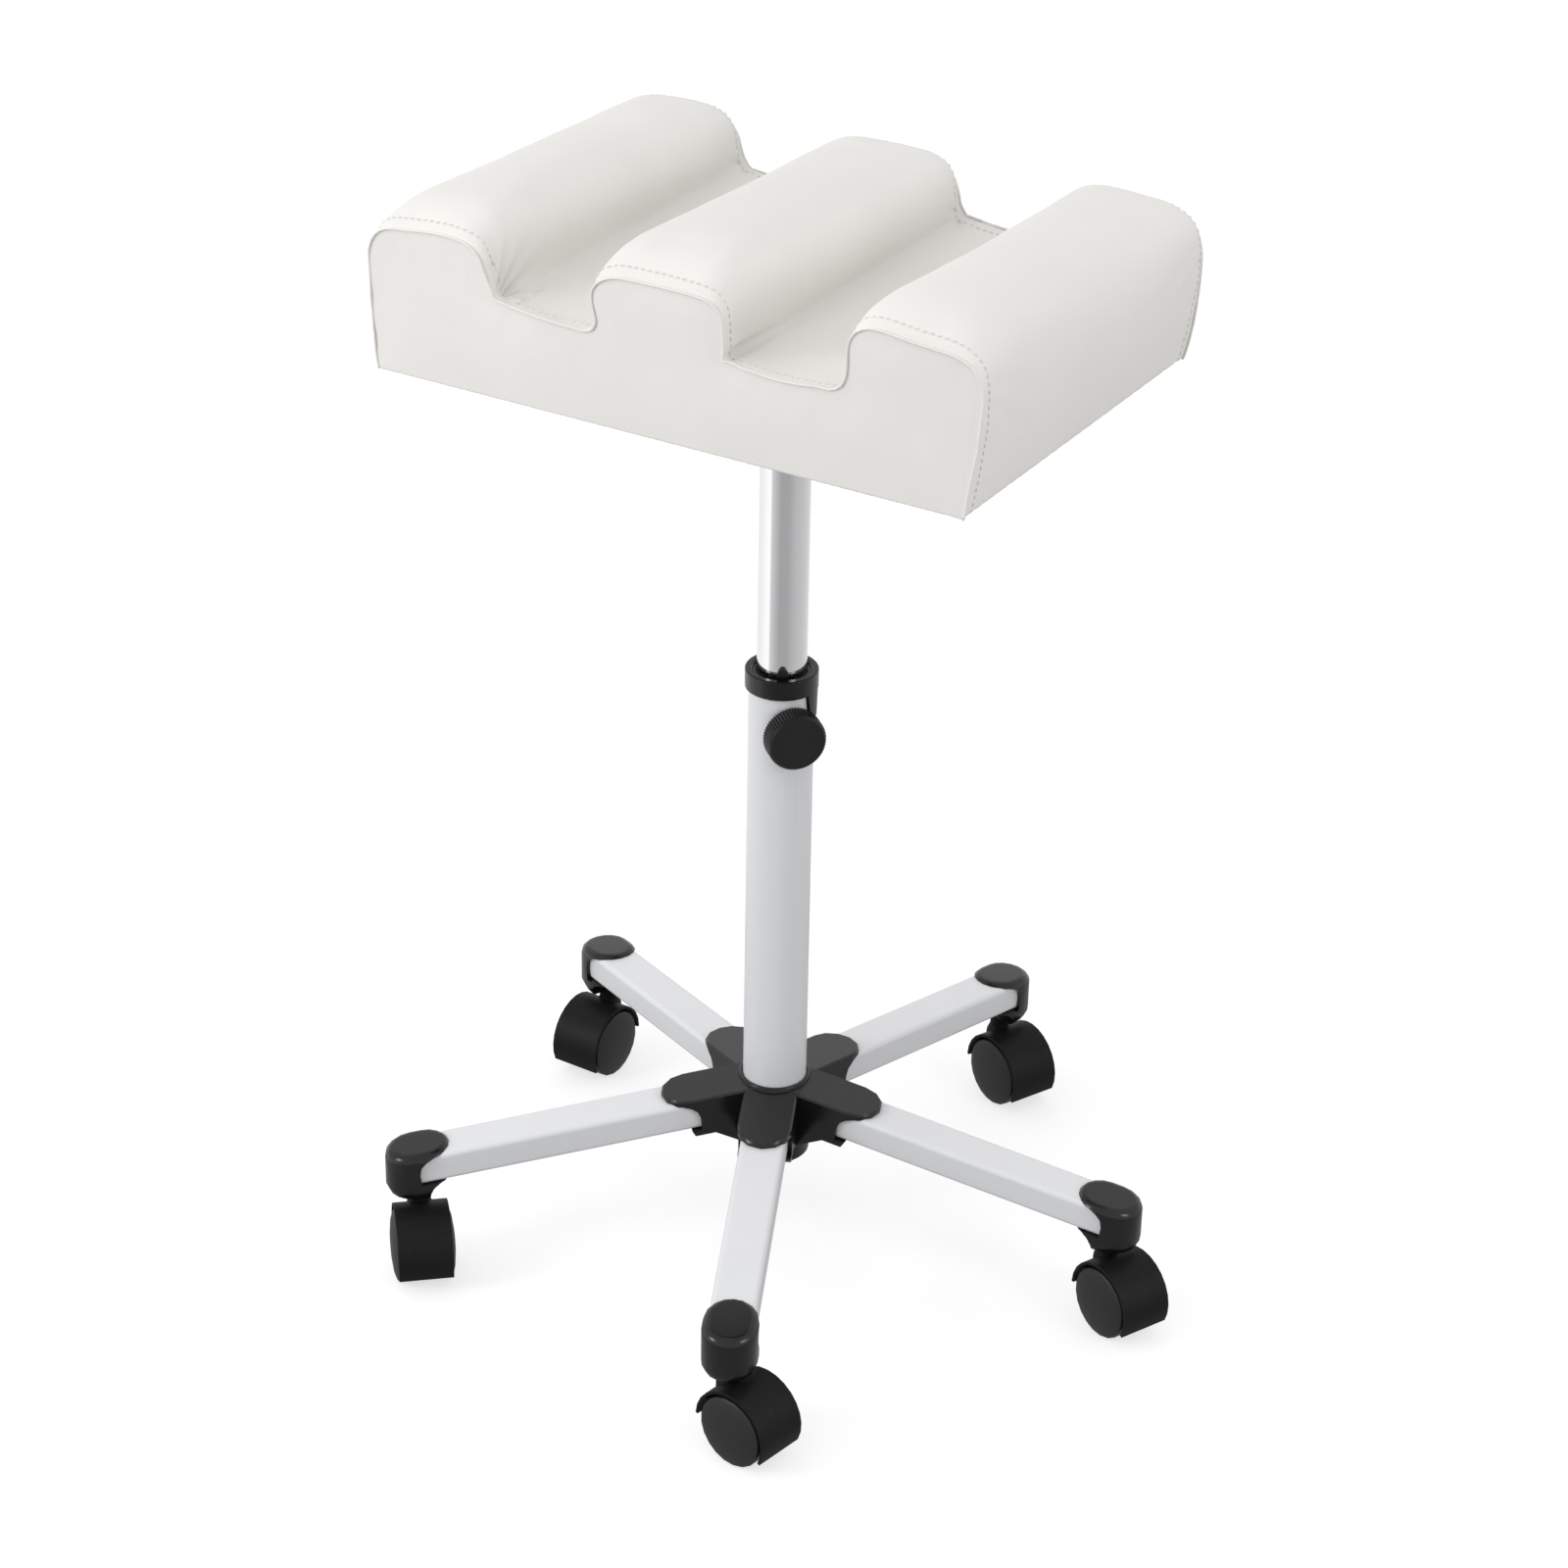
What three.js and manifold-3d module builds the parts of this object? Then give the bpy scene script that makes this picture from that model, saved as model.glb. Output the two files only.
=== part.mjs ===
// A pedicure stool: a five-armed base on twin-wheel casters, a telescopic column with a clamp
// knob, and a padded leg rest with three ridges and two channels between them.
// Lengths are millimetres. +Z is up, +X runs along the leg rest's width, +Y from its front to its back.

import * as THREE from 'three';
import { mergeVertices } from 'three/addons/utils/BufferGeometryUtils.js';
import Module from 'manifold-3d';

const wasm = await Module();
wasm.setup();

// Clearances
const seatGap = 0.3;
const runGap = 0.4;
const cutOver = 2;

// Casters
const wheelRadius = 22;
const wheelWidth = 10.6;
const wheelDome = 3.2;
const wheelEdge = 0.8;
const wheelDomeShares = [[0.75, 0.62], [0.42, 0.9], [0, 1]];
const webWidth = 10;
const hoodGap = 1.8;
const hoodWall = 1.7;
const hoodWidth = 32.6;
const hoodDropAngle = 25;
const hoodFrontAngle = 178;
const webHubRadius = 9;
const axleRadius = 2.5;
const axleBite = 7;
const casterTrail = 14.5;
const neckRadius = 5.8;
const neckFlare = 2.2;
const neckHeight = 5.8;
const neckFoot = 22.6;
const stemRadius = 3.5;
const stemBite = 17;
const stemFoot = 11.5;
const stemGroove = 0.6;
const stemGrooveWidth = 2;
const swivelAngles = [-49, -11, -25, -25, -92];

// Legs and their end caps
const legWidth = 26.7;
const legHeight = 18.7;
const legCorner = 3;
const legWall = 1.5;
const legSlopeAngle = 6.92;
const firstLegAngle = -137.4;
const legInnerEnd = 24.5;
const legPastStem = 8;
const capRadius = 216;
const capHalfWidth = 16;
const capStretch = 3.5;
const capRoof = 2.6;
const capFloor = 9.2;
const capShoulder = 5.2;
const capFootEdge = 2.2;
const capFootHeight = 5;
const capTongue = 1.4;
const capWindow = 20.4;
const capChin = 14;
const capLipSetback = 4;
const capPostRadius = 6;
const capPostHeight = 10.5;
const windowCentreDrop = 4;
const windowPower = 3;

// Hub
const armWall = 2.4;
const petalReach = 68.3;
const petalThickness = 3;
const petalEdge = 1;
const armWindow = 20.3;
const armSoleThickness = 2.4;
const armSoleReach = 52;
const gussetDrop = 13.2;
const gussetReach = 40.5;
const gussetTip = 0.4;
const ringWall = 2.1;
const ringLip = 1;
const ringLipWall = 1.2;
const bossDrop = 12.9;
const bossEdge = 0.7;
const bossRecess = 7.4;
const bossRecessRadius = 15;
const bossFloor = 4.5;
const screwPanShare = 0.6;
const legScrewReach = 38;
const legScrewRadius = 1.9;
const legScrewHeadRadius = 3.8;
const legScrewHead = 2.4;
const legScrewLength = 12;

// Column
const outerTubeRadius = 19;
const outerTubeWall = 1.5;
const outerTubeLength = 311.4;
const innerTubeRadius = 14.5;
const innerTubeWall = 1.2;
const innerTubeLength = 280;
const columnRaise = 180.7;
const plugHeight = 22;
const boltRadius = 3.9;
const boltHeadRadius = 7.5;
const boltHead = 5;
const boltLength = 22;
const boltHeadSides = 6;
const washerRadius = 10;
const washerThickness = 1.4;
const bushLength = 16;
const bushSpigot = 20;
const bushBoreRadius = 8;
const bushEdge = 1;

// Collar on top of the outer tube
const collarWall = 1.9;
const collarSkirt = 10;
const collarTop = 1.2;
const collarBevel = 0.7;
const collarStep = 1.8;
const collarStepWall = 1.1;
const sleeveLength = 20;
const lugLength = 15.5;
const lugWidth = 12;
const lugTipShare = 0.55;
const lugAngle = 4;
const pointerAngle = -57.6;
const pointerRise = 6.2;
const pointerWidth = 6.6;
const pointerThickness = 1.7;

// Clamp knob
const knobAngle = -41.6;
const knobDrop = 33.3;
const knobRadius = 17.4;
const knobThickness = 12;
const knobFaceRadius = 16.6;
const knobFaceEdge = 0.9;
const knobFluteCount = 60;
const knobFluteDepth = 0.7;
const knobStandOff = 0.5;
const clampScrewRadius = 3.9;
const clampScrewBite = 8.5;
const clampNutWall = 1.1;
const clampNutBite = 2.4;
const clampNutFlange = 6.8;
const clampNutFlangeThickness = 1;
const clampPadLength = 2.2;
const clampPadRadius = 3.4;

// Plate and board under the pad
const plateWidth = 130;
const plateDepth = 110;
const plateThickness = 3;
const plateCorner = 10;
const plateCollarWall = 3;
const plateCollarHeight = 6;
const plateScrewMargin = 12;
const plateScrewRadius = 2.3;
const plateScrewHeadRadius = 4.4;
const plateScrewHead = 2.6;
const plateScrewLength = 13;
const boardMargin = 15;
const boardThickness = 12;
const boardCorner = 14;

// Pad
const padWidth = 361;
const padDepth = 251.5;
const padSideBulge = 5;
const padEndBulge = 2;
const padEndPower = 8;
const padFoldRound = 3;
const ridgeHeight = 105;
const ridgeEndDrop = 19;
const ridgeEndRun = 38;
const ridgeBackFall = 4;
const ridgeWidth = 79;
const middleRidgeShift = -4;
const ridgeShoulder = 17;
const ridgeEndShoulder = 11;
const ridgeCrown = 2.5;
const channelHeight = 53;
const channelCorner = 4;
const channelSag = 1.5;

// Counts of facets
const roundSteps = 28;
const neckSteps = 12;
const wheelSteps = 20;
const wellSteps = 24;
const smallRoundSteps = 12;
const screwSteps = 8;
const cornerSteps = 2;
const arcSteps = 5;
const capSteps = 8;
const capShoulderSteps = 3;
const armSteps = 6;
const hoodSteps = 14;
const shoulderSteps = 4;
const endSteps = 5;

// Degrees in one turn
const fullTurn = 360;

// Heights and radii that follow from the sizes above
const slope = THREE.MathUtils.degToRad(legSlopeAngle);
const legRise = Math.tan(slope);
const axleHeight = wheelRadius * Math.cos(Math.PI / wheelSteps);
const hoodInnerRadius = wheelRadius + hoodGap;
const hoodRadius = hoodInnerRadius + hoodWall;
const capUnderside = axleHeight + hoodRadius + neckHeight;
const legHalfRise = legHeight / 2 / Math.cos(slope);
const legAxisHeight = capUnderside + capFloor + legHalfRise + capRadius * legRise;
const legEnd = (capRadius + legPastStem) / Math.cos(slope);
const capHeight = capFloor + 2 * legHalfRise + seatGap + capRoof;
const armHalfWidth = legWidth / 2 + seatGap + armWall;
const petalTop = legHeight / 2 + seatGap + petalThickness;
const armSole = -legHeight / 2 - seatGap - armSoleThickness;
const hubBoreRadius = outerTubeRadius + seatGap;
const bossRadius = hubBoreRadius + ringWall;
const ringTop = legAxisHeight + petalTop / Math.cos(slope) - bossRadius * legRise + ringLip;
const bossBottom = legAxisHeight + (armSole - gussetDrop) / Math.cos(slope) - bossRadius * legRise - bossDrop;
const hubFloorBottom = bossBottom + bossRecess;
const outerTubeBottom = hubFloorBottom + bossFloor + seatGap;
const outerTubeTop = outerTubeBottom + outerTubeLength;
const outerTubeBore = outerTubeRadius - outerTubeWall;
const collarRadius = outerTubeRadius + seatGap + collarWall;
const collarBore = innerTubeRadius + runGap;
const collarHeight = outerTubeTop + seatGap + collarTop;
const plateUnderside = collarHeight + columnRaise;
const innerTubeTop = plateUnderside - seatGap;
const innerTubeBottom = innerTubeTop - innerTubeLength;
const innerTubeBore = innerTubeRadius - innerTubeWall;
const padUnderside = plateUnderside + plateThickness + seatGap;
const knobHeight = collarHeight - knobDrop;
const nutBore = clampScrewRadius + seatGap;
const nutRadius = nutBore + clampNutWall;
const knobBack = outerTubeRadius + seatGap + clampNutFlangeThickness + knobStandOff;
const clampPadFace = innerTubeRadius + seatGap;
const clampPadBack = clampPadFace + clampPadLength;

// Materials
const blackPlastic = new THREE.MeshStandardMaterial({ color: 0x26272a, roughness: 0.42, metalness: 0 });
const glossPlastic = new THREE.MeshStandardMaterial({ color: 0x17181a, roughness: 0.22, metalness: 0 });
const wheelNylon = new THREE.MeshStandardMaterial({ color: 0x2b2c2f, roughness: 0.5, metalness: 0 });
const paleNylon = new THREE.MeshStandardMaterial({ color: 0xd8d6cc, roughness: 0.6, metalness: 0 });
const whiteEnamel = new THREE.MeshStandardMaterial({ color: 0xe8eaec, roughness: 0.3, metalness: 0 });
const chromePlate = new THREE.MeshStandardMaterial({ color: 0xd9dadc, roughness: 0.08, metalness: 1 });
const zincSteel = new THREE.MeshStandardMaterial({ color: 0xb4b6b8, roughness: 0.35, metalness: 1 });
const birchPly = new THREE.MeshStandardMaterial({ color: 0xc9ab7e, roughness: 0.7, metalness: 0 });
const whiteLeather = new THREE.MeshStandardMaterial({ color: 0xe6e4e0, roughness: 0.55, metalness: 0 });

// Solids and meshes

function solidOf(geometry) {
	const bare = geometry.clone();
	bare.deleteAttribute('normal');
	bare.deleteAttribute('uv');
	const merged = mergeVertices(bare);
	const vertProperties = new Float32Array(merged.attributes.position.array);
	const triVerts = new Uint32Array(merged.index.array);
	return new wasm.Manifold(new wasm.Mesh({ numProp: 3, vertProperties, triVerts }));
}

function geometryOf(solid) {
	const mesh = solid.getMesh();
	const geometry = new THREE.BufferGeometry();
	geometry.setAttribute('position', new THREE.Float32BufferAttribute(mesh.vertProperties, 3));
	geometry.setIndex(new THREE.Uint32BufferAttribute(mesh.triVerts, 1));
	geometry.computeVertexNormals();
	return geometry;
}

function join(geometries) {
	return geometries.map(solidOf).reduce((whole, piece) => whole.add(piece));
}

function cut(solid, geometries) {
	return geometries.map(solidOf).reduce((rest, tool) => rest.subtract(tool), solid);
}

function addMesh(parent, name, geometry, material) {
	const mesh = new THREE.Mesh(geometry, material);
	mesh.name = name;
	parent.add(mesh);
}

function addGroup(parent, x, y, z, turn) {
	const group = new THREE.Group();
	group.position.set(x, y, z);
	group.rotation.z = THREE.MathUtils.degToRad(turn);
	parent.add(group);
	return group;
}

// Basic forms

// A body turned about Z from [radius, height] pairs that go up the outside and down the inside.
function turned(pairs, steps) {
	const points = pairs.map(([radius, height]) => new THREE.Vector2(radius, height));
	return new THREE.LatheGeometry(points, steps).rotateX(Math.PI / 2);
}

function rod(radius, bottom, top, steps) {
	return turned([[0, bottom], [radius, bottom], [radius, top], [0, top]], steps);
}

function pipe(radius, bore, bottom, top, steps) {
	return turned([[bore, bottom], [radius, bottom], [radius, top], [bore, top], [bore, bottom]], steps);
}

// A pan-head screw that points up, with the underside of its head at the given height.
function panScrew(headRadius, headHeight, radius, headTop, length) {
	return turned([
		[0, headTop - headHeight],
		[headRadius * screwPanShare, headTop - headHeight],
		[headRadius, headTop - headHeight / 2],
		[headRadius, headTop],
		[radius, headTop],
		[radius, headTop + length - radius],
		[0, headTop + length],
	], screwSteps);
}

function roundedRectangle(width, height, radius) {
	const x = width / 2;
	const y = height / 2;
	const shape = new THREE.Shape();
	shape.moveTo(x - radius, -y);
	shape.absarc(x - radius, -y + radius, radius, -Math.PI / 2, 0);
	shape.absarc(x - radius, y - radius, radius, 0, Math.PI / 2);
	shape.absarc(-x + radius, y - radius, radius, Math.PI / 2, Math.PI);
	shape.absarc(-x + radius, -y + radius, radius, Math.PI, Math.PI * 1.5);
	return shape;
}

function slab(shape, bottom, thickness, curveSegments) {
	const geometry = new THREE.ExtrudeGeometry(shape, { depth: thickness, bevelEnabled: false, curveSegments });
	return geometry.translate(0, 0, bottom);
}

function arcPoints(radius, from, to, steps) {
	const points = [];
	for (let i = 0; i <= steps; i++) {
		const angle = from + (to - from) * i / Math.max(1, steps);
		points.push(new THREE.Vector2(radius * Math.cos(angle), radius * Math.sin(angle)));
	}
	return points;
}

// A shape drawn in X and Z, given a width across Y and centred on it.
function acrossSlab(shape, width, curveSegments) {
	return slab(shape, -width / 2, width, curveSegments).rotateX(Math.PI / 2);
}

// A shape drawn in Y and Z, pushed out along +X from the Z axis.
function outwardSlab(shape, depth, curveSegments) {
	return slab(shape, 0, depth, curveSegments).rotateX(Math.PI / 2).rotateZ(Math.PI / 2);
}

// A skin over rings of points, all with the same count, closed by the first and the last ring.
// flatPoint gives a ring point's place in the plane that its end is filled in.
function loft(rings, flatPoint) {
	const count = rings[0].length;
	const positions = rings.flat().flatMap((point) => [point.x, point.y, point.z]);
	const indices = [];
	for (let r = 0; r < rings.length - 1; r++) {
		for (let i = 0; i < count; i++) {
			const low = r * count + i;
			const lowNext = r * count + (i + 1) % count;
			indices.push(low, lowNext, lowNext + count, low, lowNext + count, low + count);
		}
	}
	const last = (rings.length - 1) * count;
	for (const [a, b, c] of THREE.ShapeUtils.triangulateShape(rings[0].map(flatPoint), [])) {
		indices.push(c, b, a);
	}
	for (const [a, b, c] of THREE.ShapeUtils.triangulateShape(rings[rings.length - 1].map(flatPoint), [])) {
		indices.push(last + a, last + b, last + c);
	}
	const geometry = new THREE.BufferGeometry();
	geometry.setAttribute('position', new THREE.Float32BufferAttribute(positions, 3));
	geometry.setIndex(indices);
	return geometry;
}

function planPoint(point) {
	return new THREE.Vector2(point.x, point.y);
}

// A ring of points round two half circles whose centres lie at start and end on the X axis.
function stadiumRing(start, end, radius, heightAt, steps) {
	const ring = [];
	for (const [centre, from] of [[end, -Math.PI / 2], [start, Math.PI / 2]]) {
		for (let i = 0; i <= steps; i++) {
			const angle = from + Math.PI * i / steps;
			const x = centre + radius * Math.cos(angle);
			ring.push(new THREE.Vector3(x, radius * Math.sin(angle), heightAt(x)));
		}
	}
	return ring;
}

// Legs: the leg frame has X along the leg, out from the column and down the slope.

const legMatrix = new THREE.Matrix4()
	.makeTranslation(0, 0, legAxisHeight)
	.multiply(new THREE.Matrix4().makeRotationY(slope));

function inLegFrame(geometry) {
	return geometry.applyMatrix4(legMatrix);
}

function legBar(width, height, corner, start, end) {
	const bar = slab(roundedRectangle(height, width, corner), start, end - start, cornerSteps);
	return inLegFrame(bar.rotateY(Math.PI / 2));
}

function legPocket(start, end) {
	return legBar(legWidth + 2 * seatGap, legHeight + 2 * seatGap, legCorner + seatGap, start, end);
}

// The curved window that bares the leg's side: from the tip of the tongue above it along a squarish
// ellipse down to the leg's lower edge. inward is 1 where the solid lies beyond the tip, or -1.
function sideWindow(tip, depth, inward) {
	const top = legHeight / 2;
	const centre = -windowCentreDrop;
	const height = top - centre;
	const bend = 2 / windowPower;
	const from = -Math.asin(((top + centre) / height) ** (1 / bend));
	const open = tip - inward * cutOver;
	const points = [new THREE.Vector2(open, -top)];
	for (let i = 0; i <= arcSteps; i++) {
		const angle = from + (Math.PI / 2 - from) * i / arcSteps;
		const x = tip + inward * depth * Math.cos(angle) ** bend;
		const rise = Math.sign(angle) * Math.abs(Math.sin(angle)) ** bend;
		points.push(new THREE.Vector2(x, centre + height * rise));
	}
	points.push(new THREE.Vector2(open, top));
	return inLegFrame(acrossSlab(new THREE.Shape(points), 2 * (armHalfWidth + cutOver), arcSteps));
}

function legScrewHole() {
	const hole = rod(legScrewRadius + seatGap, -legHeight, 0, screwSteps);
	return inLegFrame(hole.translate(legScrewReach, 0, 0));
}

// The slot in the leg's underside that lets the cap's post slide in from the open end.
function postSlot() {
	const radius = capPostRadius + seatGap;
	const ring = (height) => stadiumRing(capRadius, capRadius + 2 * legPastStem, radius, () => height, arcSteps);
	return loft([ring(capUnderside), ring(capUnderside + capFloor + legHalfRise)], planPoint);
}

function makeLeg() {
	const hollow = legBar(
		legWidth - 2 * legWall,
		legHeight - 2 * legWall,
		legCorner - legWall,
		legInnerEnd - cutOver,
		legEnd + cutOver,
	);
	const bar = join([legBar(legWidth, legHeight, legCorner, legInnerEnd, legEnd)]);
	return geometryOf(cut(bar, [hollow, postSlot(), legScrewHole()]));
}

// End caps: the cap's top slopes with the leg while its underside stays level.

function capRing(inset, height) {
	const tilt = legRise * height / capHeight;
	return stadiumRing(
		capRadius - capStretch,
		capRadius + capStretch,
		capHalfWidth - inset,
		(x) => capUnderside + height - tilt * (x - capRadius),
		capSteps,
	);
}

function capShell() {
	const rings = [capRing(capFootEdge, 0), capRing(0, capFootHeight)];
	for (let i = 0; i <= capShoulderSteps; i++) {
		const angle = Math.PI / 2 * i / capShoulderSteps;
		const inset = capShoulder * (1 - Math.cos(angle));
		rings.push(capRing(inset, capHeight - capShoulder * (1 - Math.sin(angle))));
	}
	return loft(rings, planPoint);
}

// Below the leg the cap's inner end curves up to a thin tongue, which stops short of the cap's tip.
function chinCut(tip) {
	const tongue = capUnderside + capFloor - seatGap - capTongue + (capRadius - tip) * legRise;
	const lip = tip + capLipSetback;
	const shape = new THREE.Shape();
	shape.moveTo(tip - cutOver, capUnderside - cutOver);
	shape.lineTo(tip + capChin, capUnderside - cutOver);
	shape.lineTo(tip + capChin, capUnderside);
	shape.quadraticCurveTo(tip + capChin, tongue, lip, tongue);
	shape.lineTo(lip, tongue + capTongue + cutOver);
	shape.lineTo(tip - cutOver, tongue + capTongue + cutOver);
	return acrossSlab(shape, 2 * (capHalfWidth + cutOver), arcSteps);
}

function makeLegCap() {
	const tip = capRadius - capStretch - capHalfWidth;
	const legTip = tip / Math.cos(slope);
	const shell = cut(join([capShell()]), [
		chinCut(tip),
		legPocket(legTip - cutOver, legEnd + seatGap),
		sideWindow(legTip, capWindow, 1),
	]);
	const postTop = capUnderside + capFloor + capPostHeight;
	const post = rod(capPostRadius, capUnderside + capFootHeight, postTop, smallRoundSteps);
	const stemTop = capUnderside + stemBite + seatGap;
	const stemBore = rod(stemRadius + runGap, capUnderside - cutOver, stemTop, smallRoundSteps);
	const withPost = shell.add(solidOf(post.translate(capRadius, 0, 0)));
	return geometryOf(cut(withPost, [stemBore.translate(capRadius, 0, 0)]));
}

// Casters: the caster frame has its origin on the floor under the stem and X along its trail.

function drum(radius, start, end, steps) {
	return rod(radius, start, end, steps).rotateX(-Math.PI / 2).translate(casterTrail, 0, axleHeight);
}

// The side view of the hood: round the drum from the trailing edge over the top to the front
// edge, then back under the axle.
function hoodShape() {
	const drop = THREE.MathUtils.degToRad(hoodDropAngle);
	const front = THREE.MathUtils.degToRad(hoodFrontAngle);
	return new THREE.Shape([
		...arcPoints(hoodInnerRadius, -drop, -drop, 0),
		...arcPoints(hoodRadius, -drop, front, hoodSteps),
		...arcPoints(hoodInnerRadius, front, front, 0),
		...arcPoints(webHubRadius, Math.PI, Math.PI * 1.5, cornerSteps),
	]);
}

function neckForm() {
	const top = capUnderside - runGap;
	const hoodTop = axleHeight + hoodRadius;
	return turned([
		[0, top - neckFoot],
		[neckRadius + neckFlare, top - neckFoot],
		[neckRadius + neckFlare, hoodTop - neckHeight],
		[neckRadius + neckFlare / 4, hoodTop - neckFlare],
		[neckRadius, hoodTop],
		[neckRadius, top],
		[0, top],
	], neckSteps);
}

function makeHood() {
	const body = acrossSlab(hoodShape(), hoodWidth, 1).translate(casterTrail, 0, axleHeight);
	return geometryOf(cut(join([body, neckForm()]), [
		drum(hoodInnerRadius, webWidth / 2, hoodWidth, wellSteps),
		drum(hoodInnerRadius, -hoodWidth, -webWidth / 2, wellSteps),
		drum(axleRadius + seatGap, -webWidth, webWidth, smallRoundSteps),
		rod(stemRadius + seatGap, capUnderside - stemFoot - seatGap, capUnderside, smallRoundSteps),
	]));
}

function makeStem() {
	const foot = capUnderside - stemFoot;
	const top = capUnderside + stemBite;
	const groove = top - 2 * stemGrooveWidth;
	const neck = stemRadius - stemGroove;
	return turned([
		[0, foot],
		[stemRadius, foot],
		[stemRadius, groove],
		[neck, groove],
		[neck, groove + stemGrooveWidth],
		[stemRadius, groove + stemGrooveWidth],
		[neck, top],
		[0, top],
	], smallRoundSteps);
}

// A wheel on the side of +Y, with a domed face, a blind bore for the axle and a flat at its foot.
function makeWheel() {
	const inner = webWidth / 2 + runGap;
	const rim = inner + wheelWidth;
	const bore = axleRadius + runGap;
	const boreEnd = webWidth / 2 + axleBite + runGap;
	const dome = wheelDomeShares.map(([out, up]) => [wheelRadius * out, rim + wheelDome * up]);
	const wheel = turned([
		[0, boreEnd],
		[bore, boreEnd],
		[bore, inner],
		[wheelRadius, inner],
		[wheelRadius, rim - wheelEdge],
		[wheelRadius - wheelEdge, rim + wheelEdge / 2],
		...dome,
	], wheelSteps);
	return wheel.rotateZ(Math.PI / wheelSteps).rotateX(-Math.PI / 2);
}

function addCaster(parent, number, turn) {
	const caster = addGroup(parent, capRadius, 0, 0, turn);
	addMesh(caster, `caster_stem_${number}`, makeStem(), zincSteel);
	addMesh(caster, `caster_hood_${number}`, makeHood(), blackPlastic);
	const axleHalf = webWidth / 2 + axleBite;
	addMesh(caster, `caster_axle_${number}`, drum(axleRadius, -axleHalf, axleHalf, smallRoundSteps), zincSteel);
	for (const [side, facing] of [['left', 0], ['right', fullTurn / 2]]) {
		const wheel = addGroup(caster, casterTrail, 0, axleHeight, facing);
		addMesh(wheel, `caster_wheel_${side}_${number}`, makeWheel(), wheelNylon);
	}
}

// Hub

// One arm's full block under its petal, before the leg's pocket is cut.
function armBlock() {
	const ring = (inset, height) => stadiumRing(
		armHalfWidth,
		petalReach - armHalfWidth,
		armHalfWidth - inset,
		() => height,
		armSteps,
	);
	return inLegFrame(loft([
		ring(0, armSole - gussetDrop),
		ring(0, petalTop - petalEdge),
		ring(petalEdge, petalTop),
	], planPoint));
}

// What is cut away below an arm: all under the slanting edge of its gussets.
function gussetCut() {
	const bottom = armSole - gussetDrop - cutOver;
	const edge = armSole - gussetTip;
	const shape = new THREE.Shape();
	shape.moveTo(bossRadius, bottom);
	shape.lineTo(petalReach + cutOver, bottom);
	shape.lineTo(petalReach + cutOver, edge);
	shape.lineTo(gussetReach, edge);
	shape.lineTo(bossRadius, armSole - gussetDrop);
	return inLegFrame(acrossSlab(shape, 2 * (armHalfWidth + cutOver), 1));
}

// The hollow between an arm's gussets, below the sole that carries the leg.
function underHollow() {
	const low = armSole - gussetDrop - cutOver;
	const start = bossRadius + armWall;
	const end = armSoleReach + cutOver;
	const shape = roundedRectangle(end - start, 2 * (armHalfWidth - armWall), legCorner);
	return inLegFrame(slab(shape, low, armSole - low, cornerSteps).translate((start + end) / 2, 0, 0));
}

// Past the sole's end, everything below the leg is open up to the petal's tip.
function soleEnd() {
	const low = armSole - cutOver;
	const high = seatGap - legHeight / 2;
	const shape = new THREE.Shape();
	shape.moveTo(armSoleReach, low);
	shape.lineTo(petalReach + cutOver, low);
	shape.lineTo(petalReach + cutOver, high);
	shape.lineTo(armSoleReach + armSoleThickness, high);
	return inLegFrame(acrossSlab(shape, 2 * (armHalfWidth + cutOver), 1));
}

function makeHub(legAngles) {
	const core = turned([
		[0, bossBottom],
		[bossRadius - bossEdge, bossBottom],
		[bossRadius, bossBottom + bossEdge],
		[bossRadius, ringTop - 2 * ringLip],
		[hubBoreRadius + ringLipWall + ringLip / 2, ringTop - ringLip / 2],
		[hubBoreRadius + ringLipWall, ringTop],
		[0, ringTop],
	], roundSteps);
	const turns = legAngles.map((angle) => THREE.MathUtils.degToRad(angle));
	let hub = solidOf(core);
	for (const turn of turns) {
		const shapes = [gussetCut(), underHollow(), soleEnd()].map((shape) => shape.rotateZ(turn));
		hub = hub.add(cut(join([armBlock().rotateZ(turn)]), shapes));
	}
	for (const turn of turns) {
		hub = cut(hub, [
			legPocket(legInnerEnd - seatGap, petalReach + legWidth).rotateZ(turn),
			sideWindow(petalReach, armWindow, -1).rotateZ(turn),
			legScrewHole().rotateZ(turn),
		]);
	}
	return geometryOf(cut(hub, [
		rod(hubBoreRadius, outerTubeBottom - seatGap, ringTop + cutOver, roundSteps),
		rod(bossRecessRadius, bossBottom - cutOver, hubFloorBottom, roundSteps),
		rod(boltRadius + seatGap, bossBottom, ringTop, smallRoundSteps),
	]));
}

function makeLegScrew() {
	const screw = panScrew(legScrewHeadRadius, legScrewHead, legScrewRadius, armSole - seatGap, legScrewLength);
	return inLegFrame(screw.translate(legScrewReach, 0, 0));
}

function addBase(parent) {
	const legAngles = swivelAngles.map((_, i) => firstLegAngle + fullTurn * i / swivelAngles.length);
	addMesh(parent, 'hub', makeHub(legAngles), blackPlastic);
	legAngles.forEach((angle, i) => {
		const number = i + 1;
		const arm = addGroup(parent, 0, 0, 0, angle);
		addMesh(arm, `leg_${number}`, makeLeg(), whiteEnamel);
		addMesh(arm, `leg_cap_${number}`, makeLegCap(), blackPlastic);
		addMesh(arm, `leg_screw_${number}`, makeLegScrew(), zincSteel);
		addCaster(arm, number, swivelAngles[i] - angle);
	});
}

// Column foot

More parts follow.
